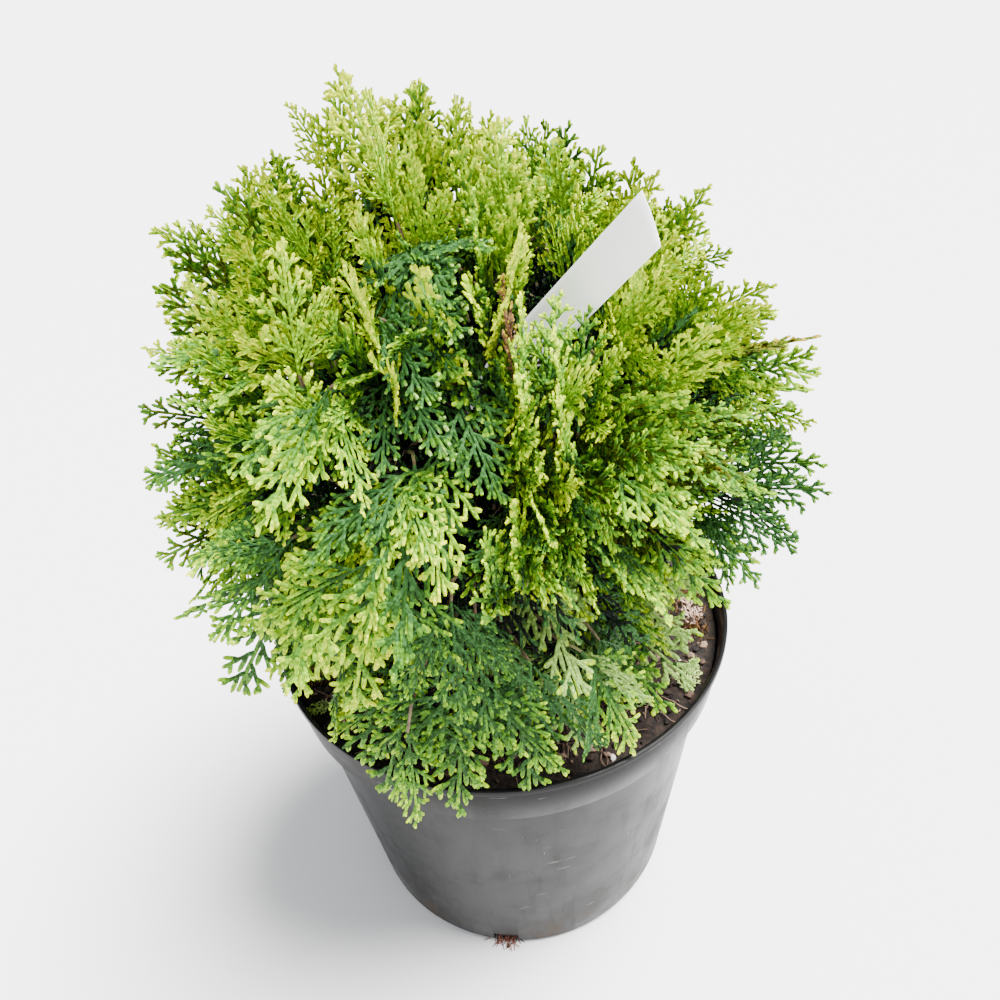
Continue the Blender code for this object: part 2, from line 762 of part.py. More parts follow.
def main():
    clear_scene()
    plant = new_collection("potted_danica_arborvitae")
    cutters = new_collection("cutters")
    make_pot(plant, cutters)
    make_soil(plant)
    new_object("trunk", trunk_mesh("trunk", 0.0, plant), plant, "bark")
    masses = make_masses()
    label = Label(masses)
    label.make_room(masses)
    sleeve = new_object("trunk_sleeve", trunk_mesh("trunk_sleeve", GAP, plant), plant)
    for mass in masses:
        make_bough(mass, sleeve, plant)
    bpy.data.objects.remove(sleeve)
    blade = blade_mesh()
    draw = random.Random(SEED)
    for mass in masses:
        make_mass(mass, blade, draw, plant)
    make_label(label, plant)


main()
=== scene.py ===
# %% [markdown]
# # A potted danica arborvitae
# This lesson dresses a plain solid model of a round dwarf conifer in a nursery pot. The solids
# give the places and sizes: a pot, its soil, a trunk, and one lumpy mass of foliage on each
# bough. Here every mass gives way to twigs and flat scaly sprays, the wood gets bark, the soil
# gets crumbs, and the pot gets dust and scratches.
# Everything is in metres. The pot stands at z = 0 and the front is towards -Y.

# %% Open the frame and keep its size
import itertools
import math
import random

import bmesh
import bpy
import numpy as np
from mathutils import Matrix, Vector, noise
from mathutils.geometry import interpolate_bezier


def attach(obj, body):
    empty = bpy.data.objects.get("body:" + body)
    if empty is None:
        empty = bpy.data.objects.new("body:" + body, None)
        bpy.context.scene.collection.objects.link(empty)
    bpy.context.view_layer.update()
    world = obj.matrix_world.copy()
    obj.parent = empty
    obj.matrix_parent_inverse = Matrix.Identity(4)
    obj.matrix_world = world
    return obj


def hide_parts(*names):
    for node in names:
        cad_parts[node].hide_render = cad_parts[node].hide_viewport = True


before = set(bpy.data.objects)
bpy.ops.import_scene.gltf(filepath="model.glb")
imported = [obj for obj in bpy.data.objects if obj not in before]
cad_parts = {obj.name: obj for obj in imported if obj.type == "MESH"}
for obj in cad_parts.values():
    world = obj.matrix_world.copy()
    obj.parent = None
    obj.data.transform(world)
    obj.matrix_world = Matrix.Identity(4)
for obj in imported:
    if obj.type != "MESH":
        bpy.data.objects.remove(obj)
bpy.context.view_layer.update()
UP = Vector((0.0, 0.0, 1.0))

# %% [markdown]
# ## A short way to write shaders
# A material is a graph of nodes, and its maths is hard to read link by link. One small class
# wraps a socket, so that plain expressions such as `1 - dust * 0.4` add the nodes. Colours are
# mixed with Mix nodes, since a Math node would turn them grey.

# %% The socket class
class Socket:
    """An output of a node, which takes part in sums with numbers and other outputs."""

    def __init__(self, tree, value):
        self.tree = tree
        self.value = value

    def maths(self, operation, first, second=0.0):
        return self.tree.node("ShaderNodeMath", {"operation": operation}, {0: first, 1: second})

    def __add__(self, other):
        return self.maths("ADD", self, other)

    def __sub__(self, other):
        return self.maths("SUBTRACT", self, other)

    def __mul__(self, other):
        return self.maths("MULTIPLY", self, other)

    def __rsub__(self, other):
        return self.maths("SUBTRACT", other, self)

    __radd__ = __add__
    __rmul__ = __mul__

    def __abs__(self):
        return self.maths("ABSOLUTE", self)

    def clamped(self):
        return self.maths("MINIMUM", self.maths("MAXIMUM", self), 1.0)

    def between(self, low, high):
        """0 where the value is low or less, rising to 1 where it is high or more."""
        span = {"From Min": low, "From Max": high, "Value": self}
        return self.tree.node("ShaderNodeMapRange", {"clamp": True}, span)


class Finish:
    """A new material and the nodes that feed its Principled shader."""

    def __init__(self, name, **constants):
        self.material = bpy.data.materials.new(name)
        self.material.use_nodes = True
        self.nodes = self.material.node_tree.nodes
        self.links = self.material.node_tree.links
        self.shader = self.nodes["Principled BSDF"]
        for socket, value in constants.items():
            self.shader.inputs[socket.replace("_", " ")].default_value = value

    def feed(self, socket, value):
        if isinstance(value, Socket):
            self.links.new(value.value, socket)
        else:
            socket.default_value = value

    def node(self, kind, settings=None, inputs=None, output=0):
        """Adds one node: its settings first, then the values or links of its sockets."""
        made = self.nodes.new(kind)
        for name, value in (settings or {}).items():
            setattr(made, name, value)
        for name, value in (inputs or {}).items():
            self.feed(made.inputs[name], value)
        return Socket(self, made.outputs[output])

    def place(self):
        """Object coordinates, which are metres here."""
        return self.node("ShaderNodeTexCoord", output="Object")

    def axis(self, name):
        return self.node("ShaderNodeSeparateXYZ", inputs={"Vector": self.place()}, output=name)

    def noise(self, scale, detail=3.0, roughness=0.55, stretch=None):
        """Noise of one scale, or drawn out by a stretch for each axis."""
        at = self.place()
        if stretch:
            at = self.node("ShaderNodeMapping", inputs={"Vector": at, "Scale": stretch})
        sockets = {"Vector": at, "Scale": scale, "Detail": detail, "Roughness": roughness}
        return self.node("ShaderNodeTexNoise", inputs=sockets)

    def mix(self, share, first, second):
        """Between two colours, by a share of the second."""
        settings = {"data_type": "RGBA"}
        return self.node("ShaderNodeMix", settings, {0: share, 6: first, 7: second}, output=2)

    def shades(self, colour, dim, lift=1.0):
        """A colour made dimmer, and the same colour lifted."""
        return [(*(min(1.0, level * by) for level in colour[:3]), 1.0) for by in (dim, lift)]

    def base(self, colour):
        self.feed(self.shader.inputs["Base Color"], colour)

    def rough(self, value):
        self.feed(self.shader.inputs["Roughness"], value)

    def bump(self, height, depth, strength=0.6):
        sockets = {"Height": height, "Distance": depth, "Strength": strength}
        self.feed(self.shader.inputs["Normal"], self.node("ShaderNodeBump", inputs=sockets))


def screen(red, green, blue):
    """A colour as a screen shows it, 0 to 255, turned into the linear one that shaders use."""
    linear = []
    for level in (red / 255, green / 255, blue / 255):
        low = level <= 0.04045
        linear.append(level / 12.92 if low else ((level + 0.055) / 1.055) ** 2.4)
    return (*linear, 1.0)


print("a leaf's lime green in linear light:", [round(c, 3) for c in screen(190, 215, 95)])

# %% [markdown]
# ## Where the crown's masses are
# The solids were grown by a rule, and the leaves are grown by the same one, so it is written
# again here: masses stand in rings round the crown's middle, walls part each from the next, and
# the crown's reach is a ball with a few lumps where shoots stick out.

# %% Sizes of the crown, the pot and the boughs
POT_HEIGHT = 0.222
COLLAR_HEIGHT = 0.031
LIP_RADIUS = 0.1408
MOUTH_RADIUS = 0.1380
SOIL_LEVEL = 0.2062
TRUNK_FOOT = Vector((-0.0035, 0.001, SOIL_LEVEL + 0.0003))
TRUNK_FORK = Vector((-0.0105, 0.0, 0.280))
CROWN_CENTRE = Vector((-0.0105, 0.0, 0.348))
CROWN_RADIUS = 0.161
CROWN_UNEVEN = 0.005
CROWN_LUMPS = (                 # bearing, height, width in degrees, and what it adds
    (-108, 76, 13, 0.020), (-167, 83, 12, 0.008), (-84, 45, 13, 0.016), (62, 1, 15, 0.024),
    (72, 20, 13, 0.020), (-70, 8, 14, 0.008), (-44, -16, 17, 0.013), (160, 30, 16, 0.014),
    (-150, 12, 14, 0.016), (-7, -38, 15, 0.038), (-24, -33, 14, 0.024), (28, -37, 14, 0.028),
)
RINGS = (                       # masses in each ring, their height and first bearing
    ("low", 5, -27, 0), ("middle", 6, 11, 30), ("high", 5, 51, 0), ("top", 1, 90, 0),
)
MASS_RADIUS = 0.099
BOUGH_REACH = 0.066
BOUGHS = {      # radii at its foot and tip, the height where it leaves the trunk, and its rise
    "low": (0.0029, 0.0019, 0.221, 15), "middle": (0.0031, 0.0020, 0.239, 45),
    "high": (0.0033, 0.0020, 0.252, 54), "top": (0.0042, 0.0023, 0.276, 90),
}
BOUGH_PULL = (0.22, 0.30)       # of its span: how far it keeps its way out and its way in
BOUGH_END = 0.005
TIP_RISE = 18.0


def direction(bearing, height):
    """Unit vector for a bearing from the front (-Y) round to +X and a height, in degrees."""
    bearing, height = math.radians(bearing), math.radians(height)
    flat = math.cos(height)
    return Vector((math.sin(bearing) * flat, -math.cos(bearing) * flat, math.sin(height)))


def perpendicular(vector, axis):
    """The unit part of a vector that is square to an axis."""
    return (vector - axis * vector.dot(axis)).normalized()


LUMPS = [(direction(b, h), math.radians(w), rise) for b, h, w, rise in CROWN_LUMPS]


def crown_reach(ray):
    """Distance from the crown's centre to its furthest tips along a unit ray."""
    reach = CROWN_RADIUS + CROWN_UNEVEN * noise.noise(ray * 3.1)
    for middle, width, rise in LUMPS:
        reach += rise * math.exp(-(ray.angle(middle) / width) ** 2)
    return reach


print("reach to the front:", round(crown_reach(direction(0, 0)), 4))

# %% The masses, and the boughs' lines
class Mass:
    """A foliage mass: its bough, name, axis from the crown's centre, middle and bough's tip."""

    def __init__(self, ring, number, bearing, height):
        self.bough = BOUGHS[ring]
        self.bearing = bearing
        self.name = ring if ring == "top" else f"{ring}_{number}"
        self.axis = direction(bearing, height)
        self.middle = CROWN_CENTRE + self.axis * MASS_RADIUS
        self.tip_axis = direction(bearing, TIP_RISE + 0.8 * height)
        self.bough_tip = CROWN_CENTRE + self.axis * BOUGH_REACH


def trunk_point(z):
    share = (z - TRUNK_FOOT.z) / (TRUNK_FORK.z - TRUNK_FOOT.z)
    lean = share * share * (3.0 - 2.0 * share)
    point = TRUNK_FOOT.lerp(TRUNK_FORK, lean)
    return Vector((point.x, point.y, z))


def bough_points(mass, count):
    """The bough's line: out of the trunk's axis, bending up to its tip, straight at the end."""
    fork, rise = mass.bough[2:]
    start = trunk_point(fork)
    end = mass.bough_tip - mass.tip_axis * BOUGH_END
    span = (end - start).length
    leave = start + direction(mass.bearing, rise) * span * BOUGH_PULL[0]
    arrive = end - mass.tip_axis * span * BOUGH_PULL[1]
    return interpolate_bezier(start, leave, arrive, end, count) + [mass.bough_tip]


masses = [Mass(ring, number + 1, first + 360.0 * number / count, height)
          for ring, count, height, first in RINGS for number in range(count)]
print(len(masses), "masses:", ", ".join(mass.name for mass in masses))

# %% [markdown]
# ## What the leaves keep clear of
# A spray may not pass through the pot, the soil or the label, and may not stick out of the
# crown. The label leans on the crown with open air over it, so the sprays keep behind its back
# and out of the air in front of the part that shows.

# %% Room round the pot and the label
LABEL_END = Vector((0.0670, -0.0804, 0.4766))
LABEL_HOLD = 0.64
LABEL_ACROSS = Vector((-0.298, 0.836, 0.460))
LABEL_OPEN = Vector((-0.087, -0.909, 0.407))
LABEL_WIDTH = 0.0235
LABEL_SHOWN = 0.58              # the share from its foot where it starts to show
LABEL_ENDS = (0.005, 0.004)     # room before its foot and past its end
LABEL_MARGIN = 0.0015
POT_MARGIN = 0.0018
SOIL_MARGIN = 0.0055

holder = next(mass for mass in masses if mass.name == "high_1")
coarse = bough_points(holder, 4)
place = LABEL_HOLD * (len(coarse) - 1)
label_hold = coarse[int(place)].lerp(coarse[int(place) + 1], place - int(place))
label_along = (LABEL_END - label_hold).normalized()
label_length = (LABEL_END - label_hold).length
label_across = perpendicular(LABEL_ACROSS, label_along)
label_face = label_across.cross(label_along)
if label_face.dot(LABEL_OPEN) < 0.0:
    label_face = -label_face


def clear_of_label(point, free):
    """Whether a point is off the label and, if that is to be free, out of the air before it."""
    offset = point - label_hold
    along = offset.dot(label_along)
    if not -LABEL_ENDS[0] < along < label_length + LABEL_ENDS[1]:
        return True
    across = abs(offset.dot(label_across))
    height = offset.dot(label_face)
    if across < LABEL_WIDTH / 2 + LABEL_MARGIN and abs(height) < LABEL_MARGIN:
        return False
    if not free or along < label_length * LABEL_SHOWN or height <= 0.0:
        return True
    slide = offset - LABEL_OPEN * (height / label_face.dot(LABEL_OPEN))
    return abs(slide.dot(label_across)) >= LABEL_WIDTH / 2 + 0.001


def clear_of_pot(point):
    """Whether a point is outside the pot and its soil."""
    from_axis = math.hypot(point.x, point.y)
    if point.z > POT_HEIGHT + POT_MARGIN:
        return True
    if from_axis > LIP_RADIUS + POT_MARGIN:
        return point.z > POT_HEIGHT - COLLAR_HEIGHT
    return from_axis < MOUTH_RADIUS - POT_MARGIN and point.z > SOIL_LEVEL + SOIL_MARGIN


print("label", round(label_length * 1000, 1), "mm long from", [round(c, 4) for c in label_hold])

# %% [markdown]
# ## Wood: trunk, boughs and twigs
# The real stem is a few centimetres of grey-brown, stringy bark. A bevelled curve would be
# perfectly round, so each limb is a tube of rings laid along its line, and the trunk's rings
# are pushed in and out by noise drawn out lengthwise, which gives its shredding ridges.

# %% A heap of points and faces that becomes one mesh
def new_object(name, data):
    made = bpy.data.objects.new(name, data)
    bpy.context.scene.collection.objects.link(made)
    return made


class Heap:
    """Collects rings and grains as arrays, and makes one object of them."""

    def __init__(self):
        self.points, self.faces, self.slots = [], [], []
        self.count = 0

    def add(self, points, faces, slots=0):
        """Faces are rows of four corners. A triangle repeats its last corner."""
        points, faces = np.asarray(points, float), np.asarray(faces, int)
        self.points.append(points)
        self.faces.append(faces + self.count)
        self.slots.append(np.broadcast_to(slots, len(faces)))
        self.count += len(points)

    def make(self, name, materials, smooth=True):
        points, faces = np.concatenate(self.points), np.concatenate(self.faces)
        slots = np.concatenate(self.slots)
        sides = np.where(faces[:, 2] == faces[:, 3], 3, 4)
        corners = faces[np.arange(4) < sides[:, None]]
        mesh = bpy.data.meshes.new(name)
        mesh.vertices.add(len(points))
        mesh.loops.add(len(corners))
        mesh.polygons.add(len(faces))
        mesh.vertices.foreach_set("co", points.ravel())
        mesh.loops.foreach_set("vertex_index", corners)
        mesh.polygons.foreach_set("loop_start", np.concatenate(([0], np.cumsum(sides)[:-1])))
        mesh.polygons.foreach_set("material_index", slots)
        mesh.polygons.foreach_set("use_smooth", np.full(len(faces), smooth))
        mesh.update(calc_edges=True)
        for material in materials:
            mesh.materials.append(material)
        print(name, int((sides - 2).sum()), "triangles")
        return new_object(name, mesh)


def tube(points, radii, sides):
    """A limb's rings and its faces, closed at both ends."""
    points = np.array([tuple(point) for point in points])
    along = np.gradient(points, axis=0)
    along /= np.linalg.norm(along, axis=1)[:, None]
    across = np.zeros_like(along)
    last = np.array((0.31, 0.95, 0.02))
    for step, way in enumerate(along):
        last = last - way * last.dot(way)
        last /= np.linalg.norm(last)
        across[step] = last
    third = np.cross(along, across)
    turn = np.arange(sides) * math.tau / sides
    rings = (across[:, None] * np.cos(turn)[None, :, None]
             + third[:, None] * np.sin(turn)[None, :, None])
    rings = points[:, None] + rings * np.asarray(radii, float)[:, None, None]
    here = np.arange((len(points) - 1) * sides).reshape(-1, sides)
    beside = np.roll(here, -1, axis=1)
    faces = np.stack((here, beside, beside + sides, here + sides), axis=-1).reshape(-1, 4)
    foot, tip = len(points) * sides, len(points) * sides + 1
    ends = [(foot, b, a, a) for a, b in zip(here[0], beside[0])]
    ends += [(tip, a + sides, b + sides, b + sides) for a, b in zip(here[-1], beside[-1])]
    rings = np.concatenate((rings.reshape(-1, 3), points[:1], points[-1:]))
    return rings, np.concatenate((faces, ends))


print("a limb of 5 rings has", len(tube([(0, 0, z) for z in range(5)], [1] * 5, 6)[1]), "faces")

# %% Bark and twig finishes
bark = Finish("bark", Roughness=0.85)
ridges = bark.noise(1.0, 6.0, 0.7, stretch=(420, 420, 70))
patches = bark.noise(90.0)
grain = bark.mix(ridges.between(0.35, 0.7), screen(46, 36, 28), screen(108, 88, 70))
bark.base(bark.mix(patches.between(0.45, 0.75), grain, screen(92, 80, 68)))
bark.rough(0.95 - ridges * 0.25)
bark.bump(ridges, 0.0006, 0.8)

twig_bark = Finish("twig_bark", Roughness=0.7)
bands = twig_bark.noise(600.0, 2.0)
tone = twig_bark.mix(bands.between(0.35, 0.65), screen(62, 46, 30), screen(112, 88, 60))
twig_bark.base(twig_bark.mix(twig_bark.noise(70.0).between(0.5, 0.7), tone, screen(112, 116, 62)))
twig_bark.bump(bands, 0.0002)
print("bark and twig finishes made")

# %% The trunk and its boughs
TRUNK_RADII = (0.0128, 0.0080)
TRUNK_RINGS = 46
TRUNK_SIDES = 56
FLARE = 0.34
FLARE_HEIGHT = 0.011
FLARE_RIBS = 5
BARK_RELIEF = 0.0008
BARK_STRINGS = ((4.8, 26, 1.0), (14.4, 60, 0.6))    # noise across and along, and its share
BOUGH_RINGS = 14
KNOTS, KNOT_SCALE = 0.09, 160

wood = Heap()
heights = np.linspace(TRUNK_FOOT.z, TRUNK_FORK.z, TRUNK_RINGS)
points, faces = tube([trunk_point(z) for z in heights],
                     np.linspace(*TRUNK_RADII, TRUNK_RINGS), TRUNK_SIDES)
for point in points[:-2]:
    middle = trunk_point(min(max(point[2], TRUNK_FOOT.z), TRUNK_FORK.z))
    out = Vector(point) - middle
    out.z = 0.0
    ribs = 0.65 + 0.35 * math.cos(FLARE_RIBS * math.atan2(out.y, out.x))
    flare = FLARE * ribs * math.exp(-max(0.0, point[2] - TRUNK_FOOT.z) / FLARE_HEIGHT)
    around, strings = out.normalized(), 0.0
    for across, along, share in BARK_STRINGS:
        spot = Vector((around.x * across, around.y * across, point[2] * along))
        strings += share * noise.noise(spot)
    point += np.array(out * flare + around * BARK_RELIEF * strings)
wood.add(points, faces)

for mass in masses:
    line = bough_points(mass, BOUGH_RINGS)
    base, tip = mass.bough[:2]
    radii = [radius * (1.0 + KNOTS * noise.noise(point * KNOT_SCALE))
             for radius, point in zip(np.linspace(base, tip, len(line)), line)]
    wood.add(*tube(line, radii, 12))
    stem = [mass.bough_tip, mass.bough_tip + mass.tip_axis * 0.004,
            mass.bough_tip.lerp(mass.middle, 0.6), mass.middle]
    wood.add(*tube(stem, [tip * share for share in (1.0, 1.0, 0.85, 0.6)], 8))
wood_piece = wood.make("wood", [bark.material])
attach(wood_piece, "root")
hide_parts("trunk", *(f"bough_{mass.name}" for mass in masses))

# %% [markdown]
# ## Fronds
# The leaves are tiny scales pressed to flat branchlets about two millimetres wide. Branchlets
# stand left and right by turns on side branches, and those do the same on a main axis: a
# fern-like frond as long as a finger. Each branchlet here is a strip of beads folded along its
# middle, so it catches light on a ridge and ends in a soft tip. A handful of fronds is drawn
# once, flat, and copies of them are bent and placed.

# %% How a frond branches
FIRST_SIDE = 0.09               # shares of a frond's length
SIDE_PITCH = 0.080
SIDE_LENGTH = 0.34
SIDE_ANGLE = (46.0, 36.0)       # at the foot and at the tip
SIDE_BOW = 0.45
SHOOT_PITCH = 0.054
SHOOT_LENGTH = {"inner": 0.145, "outer": 0.095}
SHOOT_ANGLE = 36.0
BRANCHLET_WIDTH = 0.032
RIDGE_HEIGHT = 0.60             # of its width
LONG_BEADS = (                  # places along it, and the width there
    (0.0, 0.70), (0.20, 1.0), (0.40, 0.74), (0.61, 1.0), (0.78, 0.76), (0.92, 1.0), (1.0, 0.5),
)
SHORT_BEADS = ((0.0, 0.66), (0.38, 1.0), (0.80, 0.96), (1.0, 0.5))
FEW_BEADS = ((0.0, 0.75), (0.36, 1.0), (0.60, 0.80), (0.88, 1.0), (1.0, 0.5))
PLAIN_BEADS = ((0.0, 0.80), (0.80, 1.0), (1.0, 0.5))
AXIS_BEADS = tuple((step / 11, 1.0 if step % 2 else 0.8) for step in range(12))
FORWARD = np.array((1.0, 0.0, 0.0))
DETAIL = {       # beads of a side branch and of a shoot, how sparse they are, and how many fronds
    "near": (LONG_BEADS, SHORT_BEADS, 1.0, 9), "far": (FEW_BEADS, FEW_BEADS[::2], 1.0, 6),
    "inner": (FEW_BEADS, PLAIN_BEADS, 1.3, 5), "deep": (PLAIN_BEADS, PLAIN_BEADS, 1.7, 4),
}


class Frond:
    """A flat frond one unit long: its points, faces, and how young each face is."""

    def __init__(self, draw, side_beads, shoot_beads, sparse):
        self.points, self.faces, self.youth = [], [], []
        self.branchlet(np.zeros(3), FORWARD, BRANCHLET_WIDTH * 0.9, AXIS_BEADS, 0.0, 0.95)
        x, side = FIRST_SIDE, draw.choice((-1.0, 1.0))
        while x < 0.96:
            self.side_branch(draw, x, side, side_beads, shoot_beads, sparse)
            x += SIDE_PITCH * sparse * draw.uniform(0.85, 1.15)
            side = -side
        self.points = np.array(self.points)
        self.faces = np.array(self.faces)
        self.youth = np.array(self.youth)

    def side_branch(self, draw, x, side, side_beads, shoot_beads, sparse):
        share = (x - FIRST_SIDE) / (1.0 - FIRST_SIDE)
        length = (SIDE_LENGTH * (1.0 - share ** 1.3) + 0.08) * draw.uniform(0.70, 1.08)
        angle = SIDE_ANGLE[0] + (SIDE_ANGLE[1] - SIDE_ANGLE[0]) * share
        turn = side * math.radians(draw.gauss(angle, 3.5))
        way = np.array((math.cos(turn), math.sin(turn), draw.gauss(0.0, 0.07)))

        def spot(place):
            return FORWARD * (x + SIDE_BOW * place * place) + way * place

        old = 0.05 + 0.35 * x
        self.branchlet(spot(0.0), spot(length), BRANCHLET_WIDTH, side_beads, old, old + 0.60,
                       SIDE_BOW * length * length)
        place, flank = 0.050, -side
        while place < length - 0.03:
            longest = SHOOT_LENGTH["inner" if flank == -side else "outer"]
            shoot = min(longest, (length - place) * 0.70 + 0.045) * draw.uniform(0.78, 1.10)
            lean = turn * (1.0 - 0.6 * place) + flank * math.radians(draw.gauss(SHOOT_ANGLE, 4.0))
            out = np.array((math.cos(lean), math.sin(lean), draw.gauss(0.0, 0.13)))
            foot, older = spot(place), old + 0.42 * place / length
            width = BRANCHLET_WIDTH * draw.uniform(0.90, 1.08)
            self.branchlet(foot, foot + out * shoot, width, shoot_beads,
                           older - 0.12, older + 0.56)
            place += SHOOT_PITCH * sparse * draw.uniform(0.88, 1.12)
            flank = -flank

    def branchlet(self, start, end, width, beads, old, young, bow=0.0):
        """A strip of scales folded along its ridge, beaded, with a blunt end."""
        along = end - start
        across = np.array((-along[1], along[0], 0.0))
        across *= width / 2 / np.linalg.norm(across)
        ridge = np.array((0.0, 0.0, width * RIDGE_HEIGHT))
        first = len(self.points)
        for row, (share, swell) in enumerate(beads):
            middle = start + along * share
            middle[0] -= bow * share * (1.0 - share)
            self.points += [middle + way * swell for way in (-across, ridge, across)]
            if row:
                for low in (first + 3 * row - 3, first + 3 * row - 2):
                    self.faces.append((low, low + 3, low + 4, low + 1))
                    self.youth.append(old + (young - old) * share)


draw = random.Random(41)
fronds = {detail: [Frond(draw, *habits) for _ in range(count)]
          for detail, (*habits, count) in DETAIL.items()}
for detail, kinds in fronds.items():
    print(detail, "fronds of", [2 * len(frond.faces) for frond in kinds], "triangles")

# %% [markdown]
# ## Leaf colours
# New tips are lime yellow, the middle of a spray is fresh green, and sprays in the shade are
# bluish green; the layers deep inside the crown are near-black green, which is painted shade.
# Winter has left some tips orange and a few brown. A texture would smear over such thin strips, so
# each bead takes one of thirteen plain colours, dealt out by its spray and by how near the end of
# the spray it is. A fine cell pattern stands for the scales, with painted shade between them and a
# painted highlight on each, and a noise varies their tone.

# %% Thirteen leaf finishes
# deep is a near-black green that stands for shade: painted shade on the fronds inside the crown.
LEAF_COLOURS = {
    "yellow": (224, 248, 8), "lime": (188, 226, 10), "spring": (134, 184, 20),
    "fresh": (84, 136, 34), "green": (46, 86, 30), "deep": (10, 22, 10),
    "blue": (60, 106, 52), "pale": (158, 198, 96), "olive": (84, 100, 14),
    "orange": (172, 150, 40), "dead": (128, 92, 66), "dry": (216, 184, 164),
    "mint": (180, 204, 116),
}
leaf_slots = {name: number for number, name in enumerate(LEAF_COLOURS)}
leaf_materials = []
for name, shade in LEAF_COLOURS.items():
    leaf = Finish(f"leaf_{name}", Specular_IOR_Level=0.10)
    cells = leaf.node("ShaderNodeTexVoronoi", inputs={"Vector": leaf.place(), "Scale": 560.0})
    drift = leaf.noise(70.0, 2.0)
    # The cells' dim edges are painted shade between the scales and their lifted middles a painted
    # highlight; the noise varies the tone.
    scales = (cells.between(0.66, 0.30) * 0.75 + drift.between(0.30, 0.75) * 0.25).clamped()
    leaf.base(leaf.mix(scales, *leaf.shades(screen(*shade), 0.5, 1.15)))
    leaf.rough(0.62 - scales * 0.20)
    leaf.bump(cells.between(0.7, 0.1), 0.0008, 0.7)
    leaf_materials.append(leaf.material)
PALETTES = {                    # from the foot of a frond to its tips
    "sunny": "green fresh spring lime yellow",
    # bright is lime new growth, lifted further as painted light for the lit top of the crown.
    "bright": "spring spring lime yellow yellow",
    "fern": "blue green fresh spring lime",
    "cool": "blue blue green fresh spring",
    # shade and deep are dark palettes for the inner layers: painted shade.
    "shade": "deep deep deep blue green",
    "deep": "deep deep deep deep green",
    "olive": "green olive olive olive orange",
    "moss": "green olive fresh spring lime",
    "blue": "green blue blue fresh pale",
    "pale": "green pale pale pale lime",
    "dead": "dead dead dead orange dead",
    "dry": "dead dry dry dry dry",
    "mint": "blue mint mint mint mint",
}
print(len(leaf_materials), "leaf finishes in", len(PALETTES), "palettes")

# %% What grows where on this plant
REGIONS = (       # bearing, height, width; how far fans lean up, and roll on edge; share of fans
    # The three top regions take mostly the bright palette, lighter partly as painted light on the
    # lit top.
    (-52, 50, 36, 0.40, 66, 1.0, "bright sunny moss bright sunny"),
    (0, 76, 34, 0.30, 66, 1.0, "bright bright bright sunny bright"),
    (52, 46, 30, 0.32, 56, 1.0, "bright bright bright bright sunny"),
    (-8, 45, 11, -0.20, 40, 1.0, "blue cool fern"),
    (-72, 16, 26, -0.20, 28, 0.6, "moss fern cool olive cool"),
    (-52, 14, 11, -0.20, 24, 0.6, "moss cool olive"),
    (-42, -2, 24, -0.50, 22, 0.65, "sunny fern cool bright"),
    (-20, 24, 26, -0.90, 20, 0.58, "fern sunny cool fern sunny moss"),
    (-8, -22, 24, -1.10, 16, 0.55, "fern sunny sunny cool"),
    (28, -28, 18, -0.85, 14, 0.5, "pale cool pale"),
    (46, 10, 28, -0.15, 38, 0.85, "olive moss cool moss fern sunny moss"),
    (66, -3, 13, -0.15, 14, 1.0, "blue cool blue"),
    (20, 18, 8, 0.10, 60, 0.9, "cool moss shade"),
)
ELSEWHERE = (0.10, 48, 1.0, "sunny fern moss bright sunny cool")
FRONT = 112.0                   # bearings beyond it, seen from behind, get plainer fronds


def habit(ray):
    """The lean, the roll and the palettes of the region that a ray lies deepest in."""
    best, found = 1.0, ELSEWHERE
    for bearing, height, width, *lie in REGIONS:
        depth = math.degrees(ray.angle(direction(bearing, height))) / width
        if depth < best:
            best, found = depth, lie
    return found


print("habit at the front:", habit(direction(0, 10)))

# %% [markdown]
# ## Growing the crown
# Rays spread evenly over the crown by the golden angle. On each, a fan of fronds forks from one
# twig: a middle frond whose tip is on the crown's skin, and one to each side in nearly the same
# plane. High up they stand up and out. Lower down they arch over and hang like shingles, and at
# the right they stick out sideways. A frond that would leave the crown, or touch the pot or the
# label, is turned, shortened or left out. Three dimmer layers inside close the view to the wood.
# Where the real plant has a spray that the rule can't know of, a listed one is placed.

# %% How fans lie
LAYERS = (                      # rays, share of the reach, detail, a fan's side fronds, length
    (350, 1.00, "near", (1.0, -1.0), (0.048, 0.074)),
    (110, 0.86, "inner", (1.0, -1.0), (0.050, 0.075)),
    (200, 0.66, "deep", (1.0,), (0.045, 0.065)),
    (110, 0.44, "deep", (1.0, -1.0), (0.040, 0.055)),
)
GOLDEN_ANGLE = 137.508
LOWEST_RAY = -46.0
RAY_SPREAD = 0.035
LEAN_SPREAD = 0.20
ROLL_SPREAD = 20.0
DROOP = (0.05, 0.10)            # of an upright frond, and what a lean outwards adds
CURL = (0.10, 0.10)             # its middle and spread
FAN_SPREAD = 38.0
SIDE_REACH = (0.72, 0.92)       # of a side frond, as shares of the middle one
SIDE_TILT = 24.0
LEAST_REACH = 0.88              # tips end between this share of the reach and all of it
TRIES = tuple(itertools.product((1.0, 0.93, 0.86, 0.78), (1.0, 0.6, 0.2)))
HOLLOWS = (                     # bearing, height, width in degrees, and share of the reach
    (2, 36, 7.5, 0.76), (6, 18, 6.0, 0.78), (-44, 19, 6.0, 0.86), (64, -32, 12.0, 0.80),
)
CROSSING = 0.013                # how far a frond may reach over a neighbour's mass
OVER_SKIN = 0.0012              # and out of the crown
HOLLOW_SHARE = 0.88             # no outer fans where the reach is cut below this share
RIDGE_SPRAYS, RIDGE_BEARING, RIDGE_SPREAD, RIDGE_TOP = 30, 12.8, 2.3, 46
RIDGE_LENGTHS, RIDGE_ROLL = (0.046, 0.060), 72.0
RIDGE_PALETTES = ("sunny", "moss", "fern", "moss", "cool", "bright")
